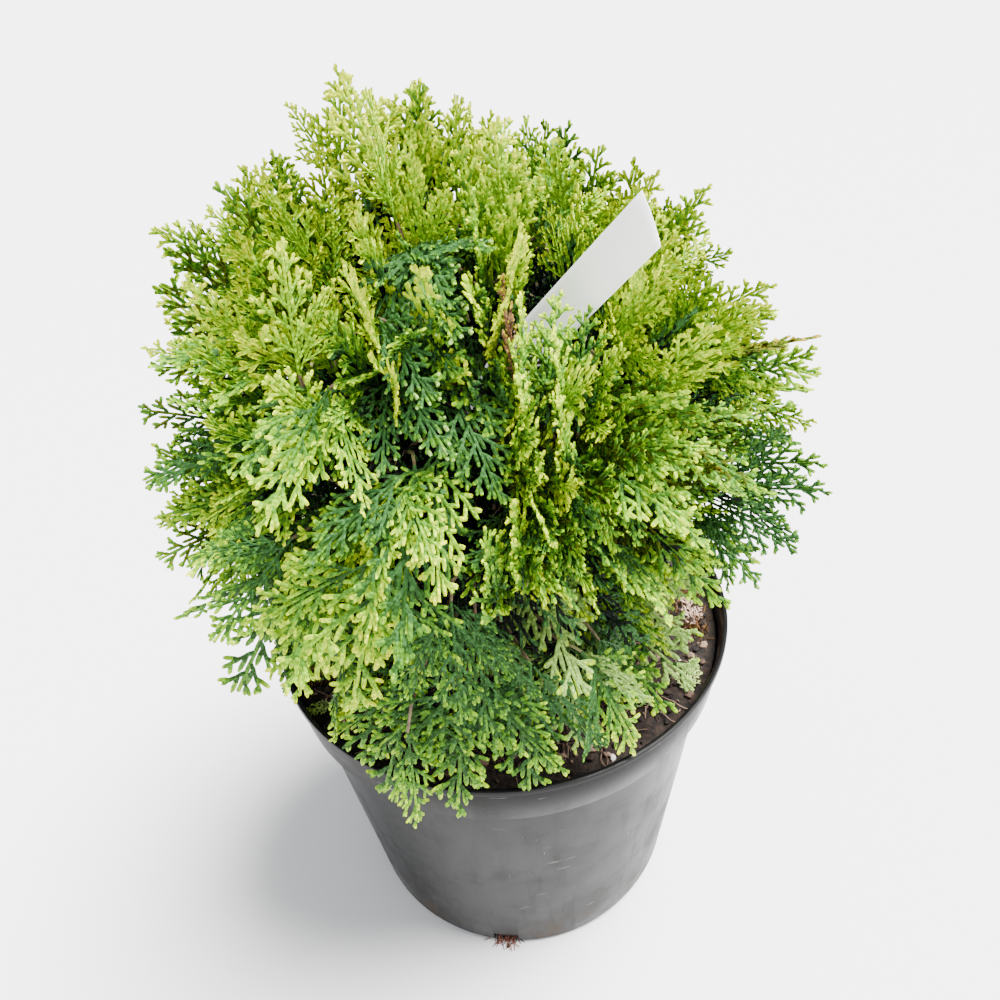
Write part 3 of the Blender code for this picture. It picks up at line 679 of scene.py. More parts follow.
SINGLES = (      # foot and tip in mm, a roll off the viewer, whether a fan, and palette
    (24, -95, 404, 33, -74, 451, 10, 0, "sunny"), (12, -108, 403, 22, -66, 431, -15, 0, "moss"),
    (24, -106, 399, 28, -69, 436, 20, 0, "fern"), (37, -97, 399, 43, -78, 445, -10, 0, "fern"),
    (12, -90, 420, 12, -80, 463, 78, 0, "dead"), (-18, -134, 303, -30, -148, 227, 0, 1, "fern"),
    (-41, -133, 301, -66, -136, 227, 0, 1, "fern"), (10, -131, 304, 5, -144, 231, 0, 1, "cool"),
    (34, -124, 300, 60, -128, 234, -20, 0, "sunny"),
    (-45, -129, 370, -69, -140, 297, 0, 1, "sunny"),
    (-77, -117, 361, -93, -131, 299, 0, 0, "sunny"),
    (-83, -114, 358, -124, -120, 292, 0, 1, "fern"),
    (-84, -111, 369, -119, -133, 337, 0, 1, "fern"), (-58, 23, 475, -48, 12, 524, 0, 1, "bright"),
    (-23, 30, 466, -15, 19, 516, 0, 1, "sunny"), (12, 31, 448, 14, 23, 500, 0, 0, "bright"),
    (44, 25, 442, 49, 18, 494, 0, 1, "fern"), (71, 14, 425, 88, 6, 473, 0, 1, "bright"),
    (88, 7, 422, 109, -6, 468, 0, 1, "sunny"), (101, -7, 396, 136, -29, 428, 0, 1, "bright"),
    (-108, 4, 436, -136, -18, 474, 0, 0, "sunny"), (-120, -21, 374, -157, -46, 401, 0, 0, "moss"),
    (-103, -63, 362, -154, -71, 356, 0, 1, "sunny"), (-103, 9, 441, -95, 5, 492, 0, 1, "sunny"),
    (115, -28, 372, 151, -51, 403, 0, 1, "sunny"), (113, -56, 333, 151, -87, 351, 0, 1, "blue"),
    (106, -55, 328, 138, -97, 326, 0, 1, "blue"), (98, -53, 323, 121, -98, 309, 0, 0, "blue"),
    (36, -30, 264, 104, -62, 238, 0, 1, "pale"), (41, -36, 262, 99, -90, 230, 0, 1, "pale"),
    (42, -24, 268, 102, -38, 248, 0, 0, "pale"), (38, -50, 262, 80, -104, 232, 0, 0, "fern"),
    (-122, -42, 345, -155, -52, 384, 0, 1, "moss"), (-114, -35, 376, -158, -63, 372, 0, 0, "fern"),
    (-120, -47, 336, -155, -85, 344, 0, 1, "moss"), (-31, 29, 460, -28, 19, 511, 0, 1, "bright"),
    (-10, 31, 456, 1, 22, 507, 0, 0, "sunny"), (34, -13, 451, 44, 20, 490, 0, 1, "sunny"),
    (77, -17, 421, 85, 8, 466, 0, 1, "bright"), (102, -13, 384, 138, -33, 415, 0, 1, "sunny"),
    (113, -47, 341, 151, -78, 360, 0, 0, "cool"), (-32, -42, 456, -6, -96, 447, 0, 1, "blue"),
    (-21, -31, 461, -11, -89, 456, 0, 1, "cool"), (-32, -51, 445, -10, -96, 430, 0, 1, "cool"),
    (-39, -68, 443, -19, -114, 429, 20, 0, "blue"), (-12, -87, 418, 3, -130, 393, 0, 0, "cool"),
    (17, -113, 385, 14, -109, 437, 75, 0, "sunny"), (14, -103, 408, 19, -83, 456, 78, 0, "sunny"),
    (31, -116, 377, 28, -114, 429, 75, 0, "sunny"), (31, -106, 396, 30, -91, 446, 75, 0, "sunny"),
    (9, -134, 349, 8, -138, 401, 72, 0, "sunny"), (-1, -135, 335, -3, -144, 390, 60, 0, "sunny"),
    (-95, 11, 439, -89, 8, 491, 0, 1, "bright"), (-118, -8, 402, -140, -21, 448, 0, 1, "bright"),
    (56, 21, 435, 64, 14, 486, 0, 0, "sunny"),
)
LATE_SINGLES = (                # grown last, where the layers left the outline thin
    (-66, 22, 445, -64, 16, 496, 0, 1, "bright"), (-84, 15, 442, -82, 10, 494, 0, 1, "sunny"),
    (14, -4, 455, 22, 22, 500, 0, 1, "bright"), (-38, -70, 421, -16, -114, 406, 0, 1, "blue"),
    (-21, -70, 418, -11, -115, 394, 0, 0, "cool"),
)
VIEWER = Vector((0.0, -0.36, 0.56))     # a point in front that their flat sides look at
HAND_BENDS = (0.06, 0.12)
AGES = (0.38, 0.64, 0.86, 1.05)         # where a palette changes along a frond
AGE_SPREAD, MOTTLE = 0.07, 0.04         # how that varies by frond, and by bead
TWIG_RADII, TWIG_RINGS = (0.0013, 0.0007), 7
TWIG_FEET = (0.15, 0.95)                # along the stem inside its mass
LABEL_ROOM, RIM_ROOM = 0.085, 0.004     # leaves this near to them are tested


def even_rays(count, draw):
    """Rays spread over the crown from its top down to the lowest."""
    lowest = math.sin(math.radians(LOWEST_RAY))
    turn = draw.uniform(0.0, 360.0)
    for step in range(count):
        height = math.degrees(math.asin(1.0 - (1.0 - lowest) * (step + 0.5) / count))
        ray = direction(turn + step * GOLDEN_ANGLE, height)
        sway = Vector([draw.gauss(0.0, RAY_SPREAD) for _ in range(3)])
        yield (ray + sway).normalized()


def reach_on(ray):
    """The crown's reach on a ray, less where it is hollow."""
    share = 1.0
    for bearing, height, width, depth in HOLLOWS:
        angle = math.degrees(ray.angle(direction(bearing, height)))
        share = min(share, 1.0 - (1.0 - depth) * math.exp(-(angle / width) ** 4))
    return crown_reach(ray) * share


def is_hollow(ray):
    return reach_on(ray) < HOLLOW_SHARE * crown_reach(ray)


print("reach in the front hollow:", round(reach_on(direction(2, 36)), 4))

# %% Placing one frond
CUP, ARCH = 1.6, 0.25           # how far a curl lifts the sides and drops the tip
OUTLINE = ((1.0, 0.0), (0.92, 0.09), (0.75, 0.17), (0.55, 0.25), (0.35, 0.29), (0.15, 0.22))


class Growth:
    """A frond's place: its foot, axis, plane and bend."""

    def __init__(self, foot, tip, facing, droop, curl):
        self.foot = foot
        self.length = (tip - foot).length
        self.droop, self.curl = droop, curl
        lifted = tip + UP * droop * self.length
        self.axis = (lifted - foot).normalized()
        self.facing = perpendicular(facing, self.axis)
        self.across = self.facing.cross(self.axis)

    def placed(self, flat):
        """World places of points given on the flat frond."""
        x, y, z = flat.T
        height = z + self.curl * (CUP * y * y - ARCH * x * x)
        axes = np.array((self.axis, self.across, self.facing))
        place = np.array(self.foot) + np.column_stack((x, y, height)) @ axes * self.length
        place[:, 2] -= self.droop * self.length * x * x
        return place

    def in_hollow(self):
        return is_hollow((self.foot + self.axis * self.length / 2 - CROWN_CENTRE).normalized())

    def fits(self, mass, limit):
        """Whether its outline stays in the crown, off the pot and out of far masses.

        One that is placed one by one has no limit, and only keeps off the pot and the label.
        """
        flat = np.array([(x, y * side, 0.0) for x, y in OUTLINE for side in (-1.0, 1.0)])
        for spot in self.placed(flat):
            point = Vector(spot)
            if not (clear_of_pot(point) and clear_of_label(point, free=limit is not None)):
                return False
            if limit is None:
                continue
            offset = point - CROWN_CENTRE
            if offset.length > crown_reach(offset.normalized()) * limit + OVER_SKIN:
                return False
            if any(offset.dot(normal) > CROSSING for normal in mass.partings):
                return False
        return True


for mass in masses:
    mass.partings = [(other.axis - mass.axis).normalized() for other in masses
                     if other is not mass]
print(masses[0].name, "has", len(masses[0].partings), "neighbours to keep out of")

# %% Growing the fans of every mass
def owner(ray):
    """The mass that a ray from the crown's centre lies in."""
    return max(masses, key=lambda mass: mass.axis.dot(ray))


def rotation(angle, axis):
    return Matrix.Rotation(math.radians(angle), 3, axis)


def slots_of(palette, youth, steps):
    """The slots of a palette's colours for faces, by how young each is."""
    slots = np.array([leaf_slots[name] for name in PALETTES[palette].split()])
    return slots[np.digitize(youth, steps)]


class Crown:
    """Every mass's leaves and twigs, heaped by mass."""

    def __init__(self, seed):
        self.draw = random.Random(seed)
        self.leaves = {mass.name: Heap() for mass in masses}
        self.twigs = {mass.name: Heap() for mass in masses}
        self.kept = 0

    def lay(self, growth, mass, detail, palette, limit):
        """Adds one frond if it fits, coloured from its foot to its tips."""
        if not growth.fits(mass, limit) or limit == 1.0 and growth.in_hollow():
            return False
        frond = self.draw.choice(fronds[detail])
        places = growth.placed(frond.points)
        near = np.abs(places - np.array(LABEL_END + label_hold) / 2).max(axis=1) < LABEL_ROOM
        low = places[:, 2] < POT_HEIGHT + RIM_ROOM
        if not (all(clear_of_label(Vector(spot), free=limit is not None) for spot in places[near])
                and all(clear_of_pot(Vector(spot)) for spot in places[low])):
            return False
        steps = np.array(AGES) + self.draw.gauss(0.0, AGE_SPREAD)
        mottle = np.random.default_rng(self.kept).normal(0.0, MOTTLE, len(frond.youth))
        slots = slots_of(palette, frond.youth + mottle, steps)
        self.leaves[mass.name].add(places, frond.faces, slots)
        self.kept += 1
        return True

    def twig(self, mass, fork, line):
        """A thin twig from the mass's stem to a fork."""
        foot = mass.bough_tip.lerp(mass.middle, self.draw.uniform(*TWIG_FEET))
        span = (fork - foot).length
        leave, arrive = mass.tip_axis * span * 0.15, line * span * 0.35
        points = interpolate_bezier(foot, foot + leave, fork - arrive, fork, TWIG_RINGS)
        self.twigs[mass.name].add(*tube(points, np.linspace(*TWIG_RADII, TWIG_RINGS), 5))

    def side_fronds(self, foot, tip, facing, bends, sides, mass, kind):
        """Fronds that fork from a fan's foot, in nearly the same plane as its middle one."""
        for side in sides:
            swing = rotation(side * self.draw.gauss(FAN_SPREAD, 5.0), facing)
            aim = foot + (swing @ (tip - foot)) * self.draw.uniform(*SIDE_REACH)
            tilted = rotation(self.draw.gauss(0.0, SIDE_TILT), (aim - foot).normalized()) @ facing
            self.lay(Growth(foot.lerp(aim, 0.05), aim, tilted, *bends), mass, *kind)

    def fan(self, ray, layer, lie, palette):
        """A fan of fronds on one twig, with its middle frond's tip on the ray."""
        share, detail, sides, lengths = layer
        mass = owner(ray)
        upward = perpendicular(UP, ray) if abs(ray.z) < 0.98 else Vector((0.0, 1.0, 0.0))
        kind = (detail, palette, min(1.0, share + 0.04))
        for shorter, slack in TRIES:
            lean = lie[0] + self.draw.gauss(0.0, LEAN_SPREAD)
            roll = lie[1] + self.draw.gauss(0.0, ROLL_SPREAD)
            line = (ray + upward * lean * slack).normalized()
            sunk = self.draw.uniform(LEAST_REACH + 0.06 * max(0.0, ray.z), 1.0)
            tip = CROWN_CENTRE + ray * reach_on(ray) * share * shorter * sunk
            foot = tip - line * self.draw.uniform(*lengths)
            facing = rotation(roll, line) @ perpendicular(ray, line)
            bends = (DROOP[0] + DROOP[1] * max(0.0, -lean), self.draw.gauss(*CURL))
            if self.lay(Growth(foot, tip, facing, *bends), mass, *kind):
                self.twig(mass, foot, line)
                self.side_fronds(foot, tip, facing, bends, sides, mass, kind)
                return True
        return False

    def layer(self, count, share, name, sides, lengths):
        """Fans on rays spread evenly over the crown, each with the habit of its region."""
        grown = 0
        for ray in even_rays(count, self.draw):
            lean, roll, kept, palettes = habit(ray)
            palette, detail = self.draw.choice(palettes.split()), name
            if name == "near":
                if self.draw.random() > kept:
                    continue
                behind = abs(math.degrees(math.atan2(ray.x, -ray.y))) > FRONT
                detail = "far" if behind else "near"
            elif is_hollow(ray):
                palette = "cool"
            else:
                # The inner and deep layers take dark palettes as painted shade.
                palette = "shade" if name == "inner" else "deep"
            lie = (lean, self.draw.choice((-1.0, 1.0)) * roll)
            grown += self.fan(ray, (share, detail, sides, lengths), lie, palette)
        print(name, "layer:", grown, "fans of", count, "and", self.kept, "fronds so far")

    def ridge(self):
        """The sprays that stand nearly on edge in front of the label, one above another."""
        grown = 0
        for step in range(RIDGE_SPRAYS):
            rise = (step + 0.5) / RIDGE_SPRAYS
            ray = direction(self.draw.gauss(RIDGE_BEARING, RIDGE_SPREAD), RIDGE_TOP * rise)
            lie = (rise - 0.2, self.draw.choice((-1.0, 1.0)) * RIDGE_ROLL)
            palette = self.draw.choice(RIDGE_PALETTES)
            grown += self.fan(ray, (1.0, "near", (), RIDGE_LENGTHS), lie, palette)
        print(grown, "ridge sprays of", RIDGE_SPRAYS)

    def singles(self, rows):
        """Sprays that are placed one by one, with their flat sides towards the front."""
        grown = 0
        for *places, roll, fan, palette in rows:
            foot, tip = Vector(places[:3]) / 1000, Vector(places[3:]) / 1000
            line = (tip - foot).normalized()
            mass = owner((foot - CROWN_CENTRE).normalized())
            facing = rotation(roll, line) @ perpendicular(VIEWER - tip, line)
            bends, kind = HAND_BENDS, ("near", palette, None)
            if self.lay(Growth(foot, tip, facing, *bends), mass, *kind):
                self.twig(mass, foot, (foot - mass.middle).normalized())
                grown += 1
            self.side_fronds(foot, tip, facing, bends, (1.0, -1.0) if fan else (), mass, kind)
        print(grown, "single sprays of", len(rows))


crown = Crown(seed=23)
crown.ridge()
crown.singles(SINGLES)
for layer in LAYERS:
    crown.layer(*layer)
crown.singles(LATE_SINGLES)

# %% Leaves and twigs become pieces
for mass in masses:
    leaves = crown.leaves[mass.name].make(f"leaves_{mass.name}", leaf_materials)
    twigs = crown.twigs[mass.name].make(f"twigs_{mass.name}", [twig_bark.material])
    for piece, slot in ((leaves, "foliage"), (twigs, "bark")):
        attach(piece, "root")
    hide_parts(f"foliage_{mass.name}")

# %% [markdown]
# ## The soil
# Potting soil is a heap of crumbs, bits of bark and hair-thin rootlets, with a white grain here
# and there. A bump map would look flat from above, so the surface is a fine turned mesh moved
# by noise, and crumbs and fibres are real grains half sunk in it.

# %% Soil finishes
soil_finish = Finish("potting_soil", Roughness=0.95)
lumps = soil_finish.noise(260.0, 5.0, 0.7)
damp = soil_finish.noise(28.0)
earth = soil_finish.mix(lumps.between(0.36, 0.66), screen(5, 4, 3), screen(58, 43, 35))
soil_finish.base(soil_finish.mix(damp.between(0.45, 0.7) * 0.55, earth, screen(26, 18, 14)))
soil_finish.bump(lumps, 0.0040, 1.0)
GRAIN_COLOURS = (
    (28, 20, 16), (54, 39, 32), (88, 66, 54), (146, 118, 100), (232, 228, 214),
    (150, 108, 48), (138, 82, 62),
)
DARK, BROWN, TAN, STRAW, WHITE, MOSS, ROOT = range(len(GRAIN_COLOURS))
grain_finishes = []
for number, shade in enumerate(GRAIN_COLOURS, 1):
    grain_finish = Finish(f"soil_grain_{number}", Roughness=0.9)
    speckle = grain_finish.noise(500.0)
    shades = grain_finish.shades(screen(*shade), 0.6)
    grain_finish.base(grain_finish.mix(speckle.between(0.35, 0.6), *shades))
    grain_finish.bump(speckle, 0.0004)
    grain_finishes.append(grain_finish.material)
print("soil finishes:", 1 + len(grain_finishes))

# %% The soil's surface
SOIL_ROWS = 74
SOIL_STEPS = 220
SOIL_RIM = 0.1350
SOIL_SIDE = (                   # radius and height of its side and underside, in the pot
    (0.1342, 0.1934), (0.1285, 0.1902), (0.1104, 0.0029), (0.0, 0.0029),
)
SOIL_RELIEF = ((0.0026, 38.0), (0.0016, 140.0), (0.0009, 420.0))    # heights, noise scales
dice = random.Random(8)


def soil_height(x, y):
    """The soil's level at a place: gentle hollows, crumbs, and flat round the trunk's foot."""
    from_foot = math.hypot(x - TRUNK_FOOT.x, y - TRUNK_FOOT.y)
    rough = min(1.0, max(0.0, (from_foot - 0.016) / 0.02))
    spot = Vector((x, y, 0.0))
    relief = sum(height * noise.noise(spot * scale) for height, scale in SOIL_RELIEF)
    return SOIL_LEVEL + relief * (0.25 + 0.75 * rough)


def on_circle(radius, turn):
    return radius * math.cos(turn), radius * math.sin(turn)


soil = Heap()
points, faces = [], []
rings = [(SOIL_RIM * (row / (SOIL_ROWS - 1)) ** 0.9, None) for row in range(SOIL_ROWS)]
rings += SOIL_SIDE
for row, (radius, z) in enumerate(rings):
    for step in range(SOIL_STEPS):
        x, y = on_circle(radius, math.tau * step / SOIL_STEPS)
        points.append((x, y, soil_height(x, y) if z is None else z))
        here, beside = row * SOIL_STEPS + step, row * SOIL_STEPS + (step + 1) % SOIL_STEPS
        if row < len(rings) - 1:
            faces.append((here, here + SOIL_STEPS, beside + SOIL_STEPS, beside))
soil.add(points, faces)
soil_piece = soil.make("potting_soil", [soil_finish.material])
weld = soil_piece.modifiers.new("weld", "WELD")
weld.merge_threshold = 0.00001
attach(soil_piece, "root")
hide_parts("soil")

# %% Crumbs, fibres, moss and rootlets
CRUMBS = 3000
CRUMB_SIZE, CRUMB_EXTRA = 0.0007, 0.0027
WHITE_EVERY, WHITE_SIZE = 140, 0.0011
KINDS = 40
FIBRES = 1600
FIBRE_LENGTH = (0.004, 0.022)
FIBRE_RADIUS = (0.00018, 0.00046)
FIBRE_ARCH, FIBRE_BEND = 0.0018, 1.6
GRAIN_ROOM = 0.1335             # from the pot's axis
CRUMB_MARGIN, FIBRE_MARGIN = 0.021, 0.030   # from the trunk's
MOSS_SHOOTS = 240
MOSS_HEIGHT, MOSS_LEAN = 0.0045, 0.0016
MOSS_RADII = (0.00030, 0.00024, 0.00012)
MOSS_PLACES = ((0.122, 0.000, 0.013), (0.119, -0.026, 0.011), (-0.118, -0.040, 0.006))
ROOTLETS = 46
ROOTLET_LENGTH = (0.005, 0.012)
ROOTLET_RADIUS = 0.00028
ROOTLET_ARCH, ROOTLET_BEND = 0.001, 1.4
ROOTLET_START, ROOTLET_SIDE = 0.108, 0.0065     # from the pot's axis, and sideways
ROOTLET_RISE = (0.0006, 0.007)
PERLITE = (0.0516, -0.1158)
DRAIN_BEARING = -9.0


def lumpy_grain(draw):
    """A lump one unit in radius: a ball of twenty faces pulled out of round."""
    bm = bmesh.new()
    bmesh.ops.create_icosphere(bm, subdivisions=1, radius=1.0)
    stretch = np.array([draw.uniform(0.6, 1.25) for _ in range(3)])
    shift = Vector([draw.uniform(0.0, 50.0) for _ in range(3)])
    swell = [1.0 + 0.35 * noise.noise(vert.co * 1.3 + shift) for vert in bm.verts]
    spots = np.array([vert.co * size for vert, size in zip(bm.verts, swell)]) * stretch
    corners = [[vert.index for vert in face.verts] for face in bm.faces]
    bm.free()
    return spots, [(a, b, c, c) for a, b, c in corners]


def scattered(reach, margin):
    """A random place within a reach of the pot's axis, or None where the trunk is too near."""
    radius = reach * math.sqrt(dice.random())
    x, y = on_circle(radius, dice.uniform(0.0, math.tau))
    near = math.hypot(x - TRUNK_FOOT.x, y - TRUNK_FOOT.y) < margin
    return None if near else Vector((x, y, soil_height(x, y)))


def hair(start, way, rise, length, bend, steps=5):
    """Points of a fibre that wanders over the soil."""
    line, spot = [], start.copy()
    for step in range(steps + 1):
        line.append(spot + UP * rise * math.sin(math.pi * step / steps))
        spot = spot + Vector((math.cos(way), math.sin(way), 0.0)) * length / steps
        way += bend / steps + dice.gauss(0.0, 0.25)
    return line


grains = Heap()
kinds = [lumpy_grain(dice) for _ in range(KINDS)]
for number in range(CRUMBS):
    place = scattered(GRAIN_ROOM - 0.004, CRUMB_MARGIN)
    if place is None:
        continue
    white = number % WHITE_EVERY == 0
    size = WHITE_SIZE if white else CRUMB_SIZE + CRUMB_EXTRA * dice.random() ** 2.4
    spots, corners = kinds[number % KINDS]
    spin = np.array(Matrix.Rotation(dice.uniform(0, math.tau), 3, "Z"))
    shade = WHITE if white else dice.choice((DARK, DARK, BROWN, BROWN, TAN, STRAW))
    grains.add(spots @ spin.T * size + (*place.xy, place.z + size * 0.3), corners, shade)
grains.add(kinds[0][0] * 0.0021 + (*PERLITE, soil_height(*PERLITE) + 0.0012), kinds[0][1], WHITE)
for _ in range(FIBRES):
    start = scattered(GRAIN_ROOM - 0.014, FIBRE_MARGIN)
    if start is None:
        continue
    start.z = 0.0005
    line = hair(start, dice.uniform(0.0, math.tau), FIBRE_ARCH,
                dice.uniform(*FIBRE_LENGTH), dice.gauss(0.0, FIBRE_BEND))
    for spot in line:
        spot.z += soil_height(spot.x, spot.y)
    thick = dice.uniform(*FIBRE_RADIUS)
    grains.add(*tube(line, [thick] * 6, 3), dice.choice((BROWN, TAN, STRAW, STRAW)))
for x, y, spread in MOSS_PLACES:
    for _ in range(MOSS_SHOOTS):
        foot = Vector((dice.gauss(x, spread / 2), dice.gauss(y, spread / 2), 0.0))
        if foot.length > GRAIN_ROOM - 0.003:
            continue
        foot.z = soil_height(foot.x, foot.y)
        tip = foot + Vector([dice.gauss(0.0, MOSS_LEAN) for _ in range(2)] + [MOSS_HEIGHT])
        line = [foot, foot.lerp(tip, 0.5) + Vector((0.0004, 0.0, 0.0)), tip]
        grains.add(*tube(line, MOSS_RADII, 3), dice.choice((MOSS, MOSS, BROWN)))
drain_way = direction(DRAIN_BEARING, 0.0)
for _ in range(ROOTLETS):
    start = drain_way * ROOTLET_START
    start += drain_way.cross(UP) * dice.uniform(-ROOTLET_SIDE, ROOTLET_SIDE)
    start.z = dice.uniform(*ROOTLET_RISE)
    way = math.atan2(drain_way.y, drain_way.x) + dice.gauss(0.0, 0.5)
    line = hair(start, way, ROOTLET_ARCH, dice.uniform(*ROOTLET_LENGTH),
                dice.gauss(0.0, ROOTLET_BEND), 4)
    for step, spot in enumerate(line):
        spot.z = max(0.0004, spot.z * (1.0 - step / 5))
    grains.add(*tube(line, [ROOTLET_RADIUS] * 5, 3), dice.choice((ROOT, ROOT, DARK)))
grain_piece = grains.make("soil_crumbs", grain_finishes, smooth=False)
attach(grain_piece, "root")

# %% Fallen sprays on the soil
FALLEN = (       # place on the soil, the way it points in degrees, length in m, and palette
    (0.1215, -0.030, 94, 0.028, "dry"), (0.0680, -0.088, 60, 0.022, "mint"),
    (0.1010, -0.080, 70, 0.026, "mint"), (-0.1085, -0.045, 150, 0.024, "mint"),
    (-0.1020, -0.062, 200, 0.020, "mint"), (-0.0930, -0.070, 250, 0.018, "dry"),
    (0.0900, 0.0600, 20, 0.024, "dry"), (-0.0500, 0.1000, 80, 0.022, "dead"),
)
FALLEN_LIFT, FALLEN_ARCH = 0.0026, 0.0030
FALLEN_AGES = (0.3, 0.5, 0.7, 0.9)

fallen = Heap()
for x, y, way, length, palette in FALLEN:
    frond = draw.choice(fronds["near"])
    turn = np.array(Matrix.Rotation(math.radians(way), 3, "Z"))
    places = frond.points * length @ turn.T + (x, y, 0.0)
    rise = FALLEN_LIFT + FALLEN_ARCH * (frond.points[:, 0] - 0.5) ** 2
    places[:, 2] += [soil_height(a, b) for a, b in places[:, :2]] + rise
    fallen.add(places, frond.faces, slots_of(palette, frond.youth, FALLEN_AGES))
fallen_piece = fallen.make("fallen_sprays", leaf_materials)
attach(fallen_piece, "root")

# %% [markdown]
# ## The pot
# The pot is thin dark grey plastic: a wall that widens upwards, a deep collar and a rolled lip,
# with small drains cut at the foot. A Screw modifier turns a drawn profile, in more steps than
# the solid has so that its edge looks round. Use has left dust, dried splashes and fine
# scratches, which vary its colour and its gloss.

# %% The pot's profile, turned and notched
POT_STEPS = 160
SMOOTH_BELOW = 32.0
DRAINS = 4
DRAIN_SIZE = (0.017, 0.024, 0.026)
FOOT_RADIUS = 0.1126
PROFILE = (      # radius and height in mm: up the inside, over the lip and down the outside
    (0, 2.6), (110.65, 2.6), (128.8, 190), (134.6, 193), (136.68, 215.8), (138, 221.37),
    (138.5, 221.9), (139.1, 222), (139.8, 222), (140.5, 221.7), (140.8, 220.74),
    (140.8, 218.556), (140.2, 218), (138.8, 217.8), (138.2, 216.6), (138.8, 215.16),
    (136.8, 192.4), (136.4, 191.4), (135.4, 191), (131, 190.4), (127.05, 150), (123.197, 110),
    (119.343, 70), (115.49, 30), (113.082, 5), (112.57, 3.6), (111.9, 2.8), (111.2, 0), (0, 0),
)

pot_mesh = bpy.data.meshes.new("nursery_pot")
pot_mesh.from_pydata([(radius / 1000, 0.0, z / 1000) for radius, z in PROFILE],
                     [(i, i + 1) for i in range(len(PROFILE) - 1)], [])
pot = new_object("nursery_pot", pot_mesh)
screw = pot.modifiers.new("turn", "SCREW")
screw.steps = screw.render_steps = POT_STEPS
screw.use_merge_vertices = True
screw.merge_threshold = 0.0001
cutters = []
for number in range(DRAINS):
    bpy.ops.mesh.primitive_cube_add(size=1.0)
    drain = bpy.context.active_object
    cutters.append(drain)
    drain.data.transform(Matrix.Diagonal((*DRAIN_SIZE, 1.0)))
    turn = Matrix.Rotation(math.radians(DRAIN_BEARING + 360.0 * number / DRAINS), 4, "Z")
    drain.matrix_world = turn @ Matrix.Translation((0.0, -FOOT_RADIUS, 0.0))
    notch = pot.modifiers.new(f"drain_{number + 1}", "BOOLEAN")
    notch.operation = "DIFFERENCE"
    notch.object = drain
bpy.context.view_layer.update()
turned = bpy.data.meshes.new_from_object(pot.evaluated_get(bpy.context.evaluated_depsgraph_get()))
pot.modifiers.clear()
pot.data = turned
for cutter in cutters:
    bpy.data.objects.remove(cutter)
turned.shade_smooth()
turned.set_sharp_from_angle(angle=math.radians(SMOOTH_BELOW))
print("pot:", len(turned.polygons), "faces")

# %% The pot's plastic, with dust and scratches
POT_MARKS = (    # x and z of dark scratches, slope and half height
    (0.046, 0.150, 0.42, 0.010), (0.038, 0.146, 0.30, 0.008), (0.034, 0.118, 0.75, 0.016),
    (-0.062, 0.080, -0.90, 0.012),
)
plastic = Finish("pot_plastic", Specular_IOR_Level=0.09)
height = plastic.axis("Z")
clouds = plastic.noise(9.0, 4.0, 0.6)
splashes = plastic.noise(34.0, 5.0, 0.7)
streaks = plastic.noise(1.0, 4.0, 0.65, stretch=(90, 90, 9))
scuffs = plastic.noise(1.0, 2.0, 0.5, stretch=(38, 38, 520))
fine = plastic.noise(1.0, 2.0, 0.5, stretch=(900, 900, 60))
dust = (clouds.between(0.42, 0.68) * 0.5 + splashes.between(0.52, 0.75) * 0.35
        + streaks.between(0.5, 0.75) * 0.3)
low = height.between(0.06, 0.0)
dust = (dust + low * splashes.between(0.4, 0.65) * 0.4).clamped()
scratch = scuffs.between(0.70, 0.76) * clouds.between(0.46, 0.60)
scratch = (scratch + fine.between(0.74, 0.80) * splashes.between(0.5, 0.6)).clamped()
dusty = plastic.mix(dust * 0.55, screen(8, 8, 9), screen(32, 31, 30))
soiled = plastic.mix(low * splashes.between(0.50, 0.70) * 0.35, dusty, screen(110, 92, 74))
scratched = plastic.mix(scratch * 0.6, soiled, screen(168, 166, 160))
across = plastic.axis("X")
mark = 0.0
for x, z, slope, reach in POT_MARKS:
    offset = across - x - (height - z) * slope
    near = abs(offset).between(0.0007, 0.0001)
    mark = mark + near * abs(height - z).between(reach, reach * 0.8)
mark = mark * plastic.axis("Y").between(0.0, -0.02) * splashes.between(0.30, 0.45)
plastic.base(plastic.mix(mark.clamped() * 0.9, scratched, screen(14, 14, 14)))
plastic.rough(0.30 + dust * 0.32 + scratch * 0.12)
plastic.bump(fine * 0.3 + splashes * 0.4 + scratch * -0.5, 0.0002, 0.35)
turned.materials.clear()
turned.materials.append(plastic.material)
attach(pot, "root")
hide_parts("pot")
print("pot finished")

# %% [markdown]
# ## The label
# A thin strip of white plastic leans among the sprays, and is left blank. It isn't quite flat:
# a fine grid is bent across its width and along its length, and then given thickness.

# %% The blank label
LABEL_THICKNESS = 0.0006
LABEL_FOOT = 0.004              # from the bough's axis
LABEL_TAIL = 0.030
LABEL_TAIL_WIDTH = 0.006
LABEL_SPRING = 0.0010           # how far its middle stands out of its plane
LABEL_CUP = 0.0009              # and its edges, towards the end
LABEL_SLANT, LABEL_CUT = 0.0016, 0.97       # its end is cut askew past this share
LABEL_ROWS, LABEL_COLUMNS = 40, 8

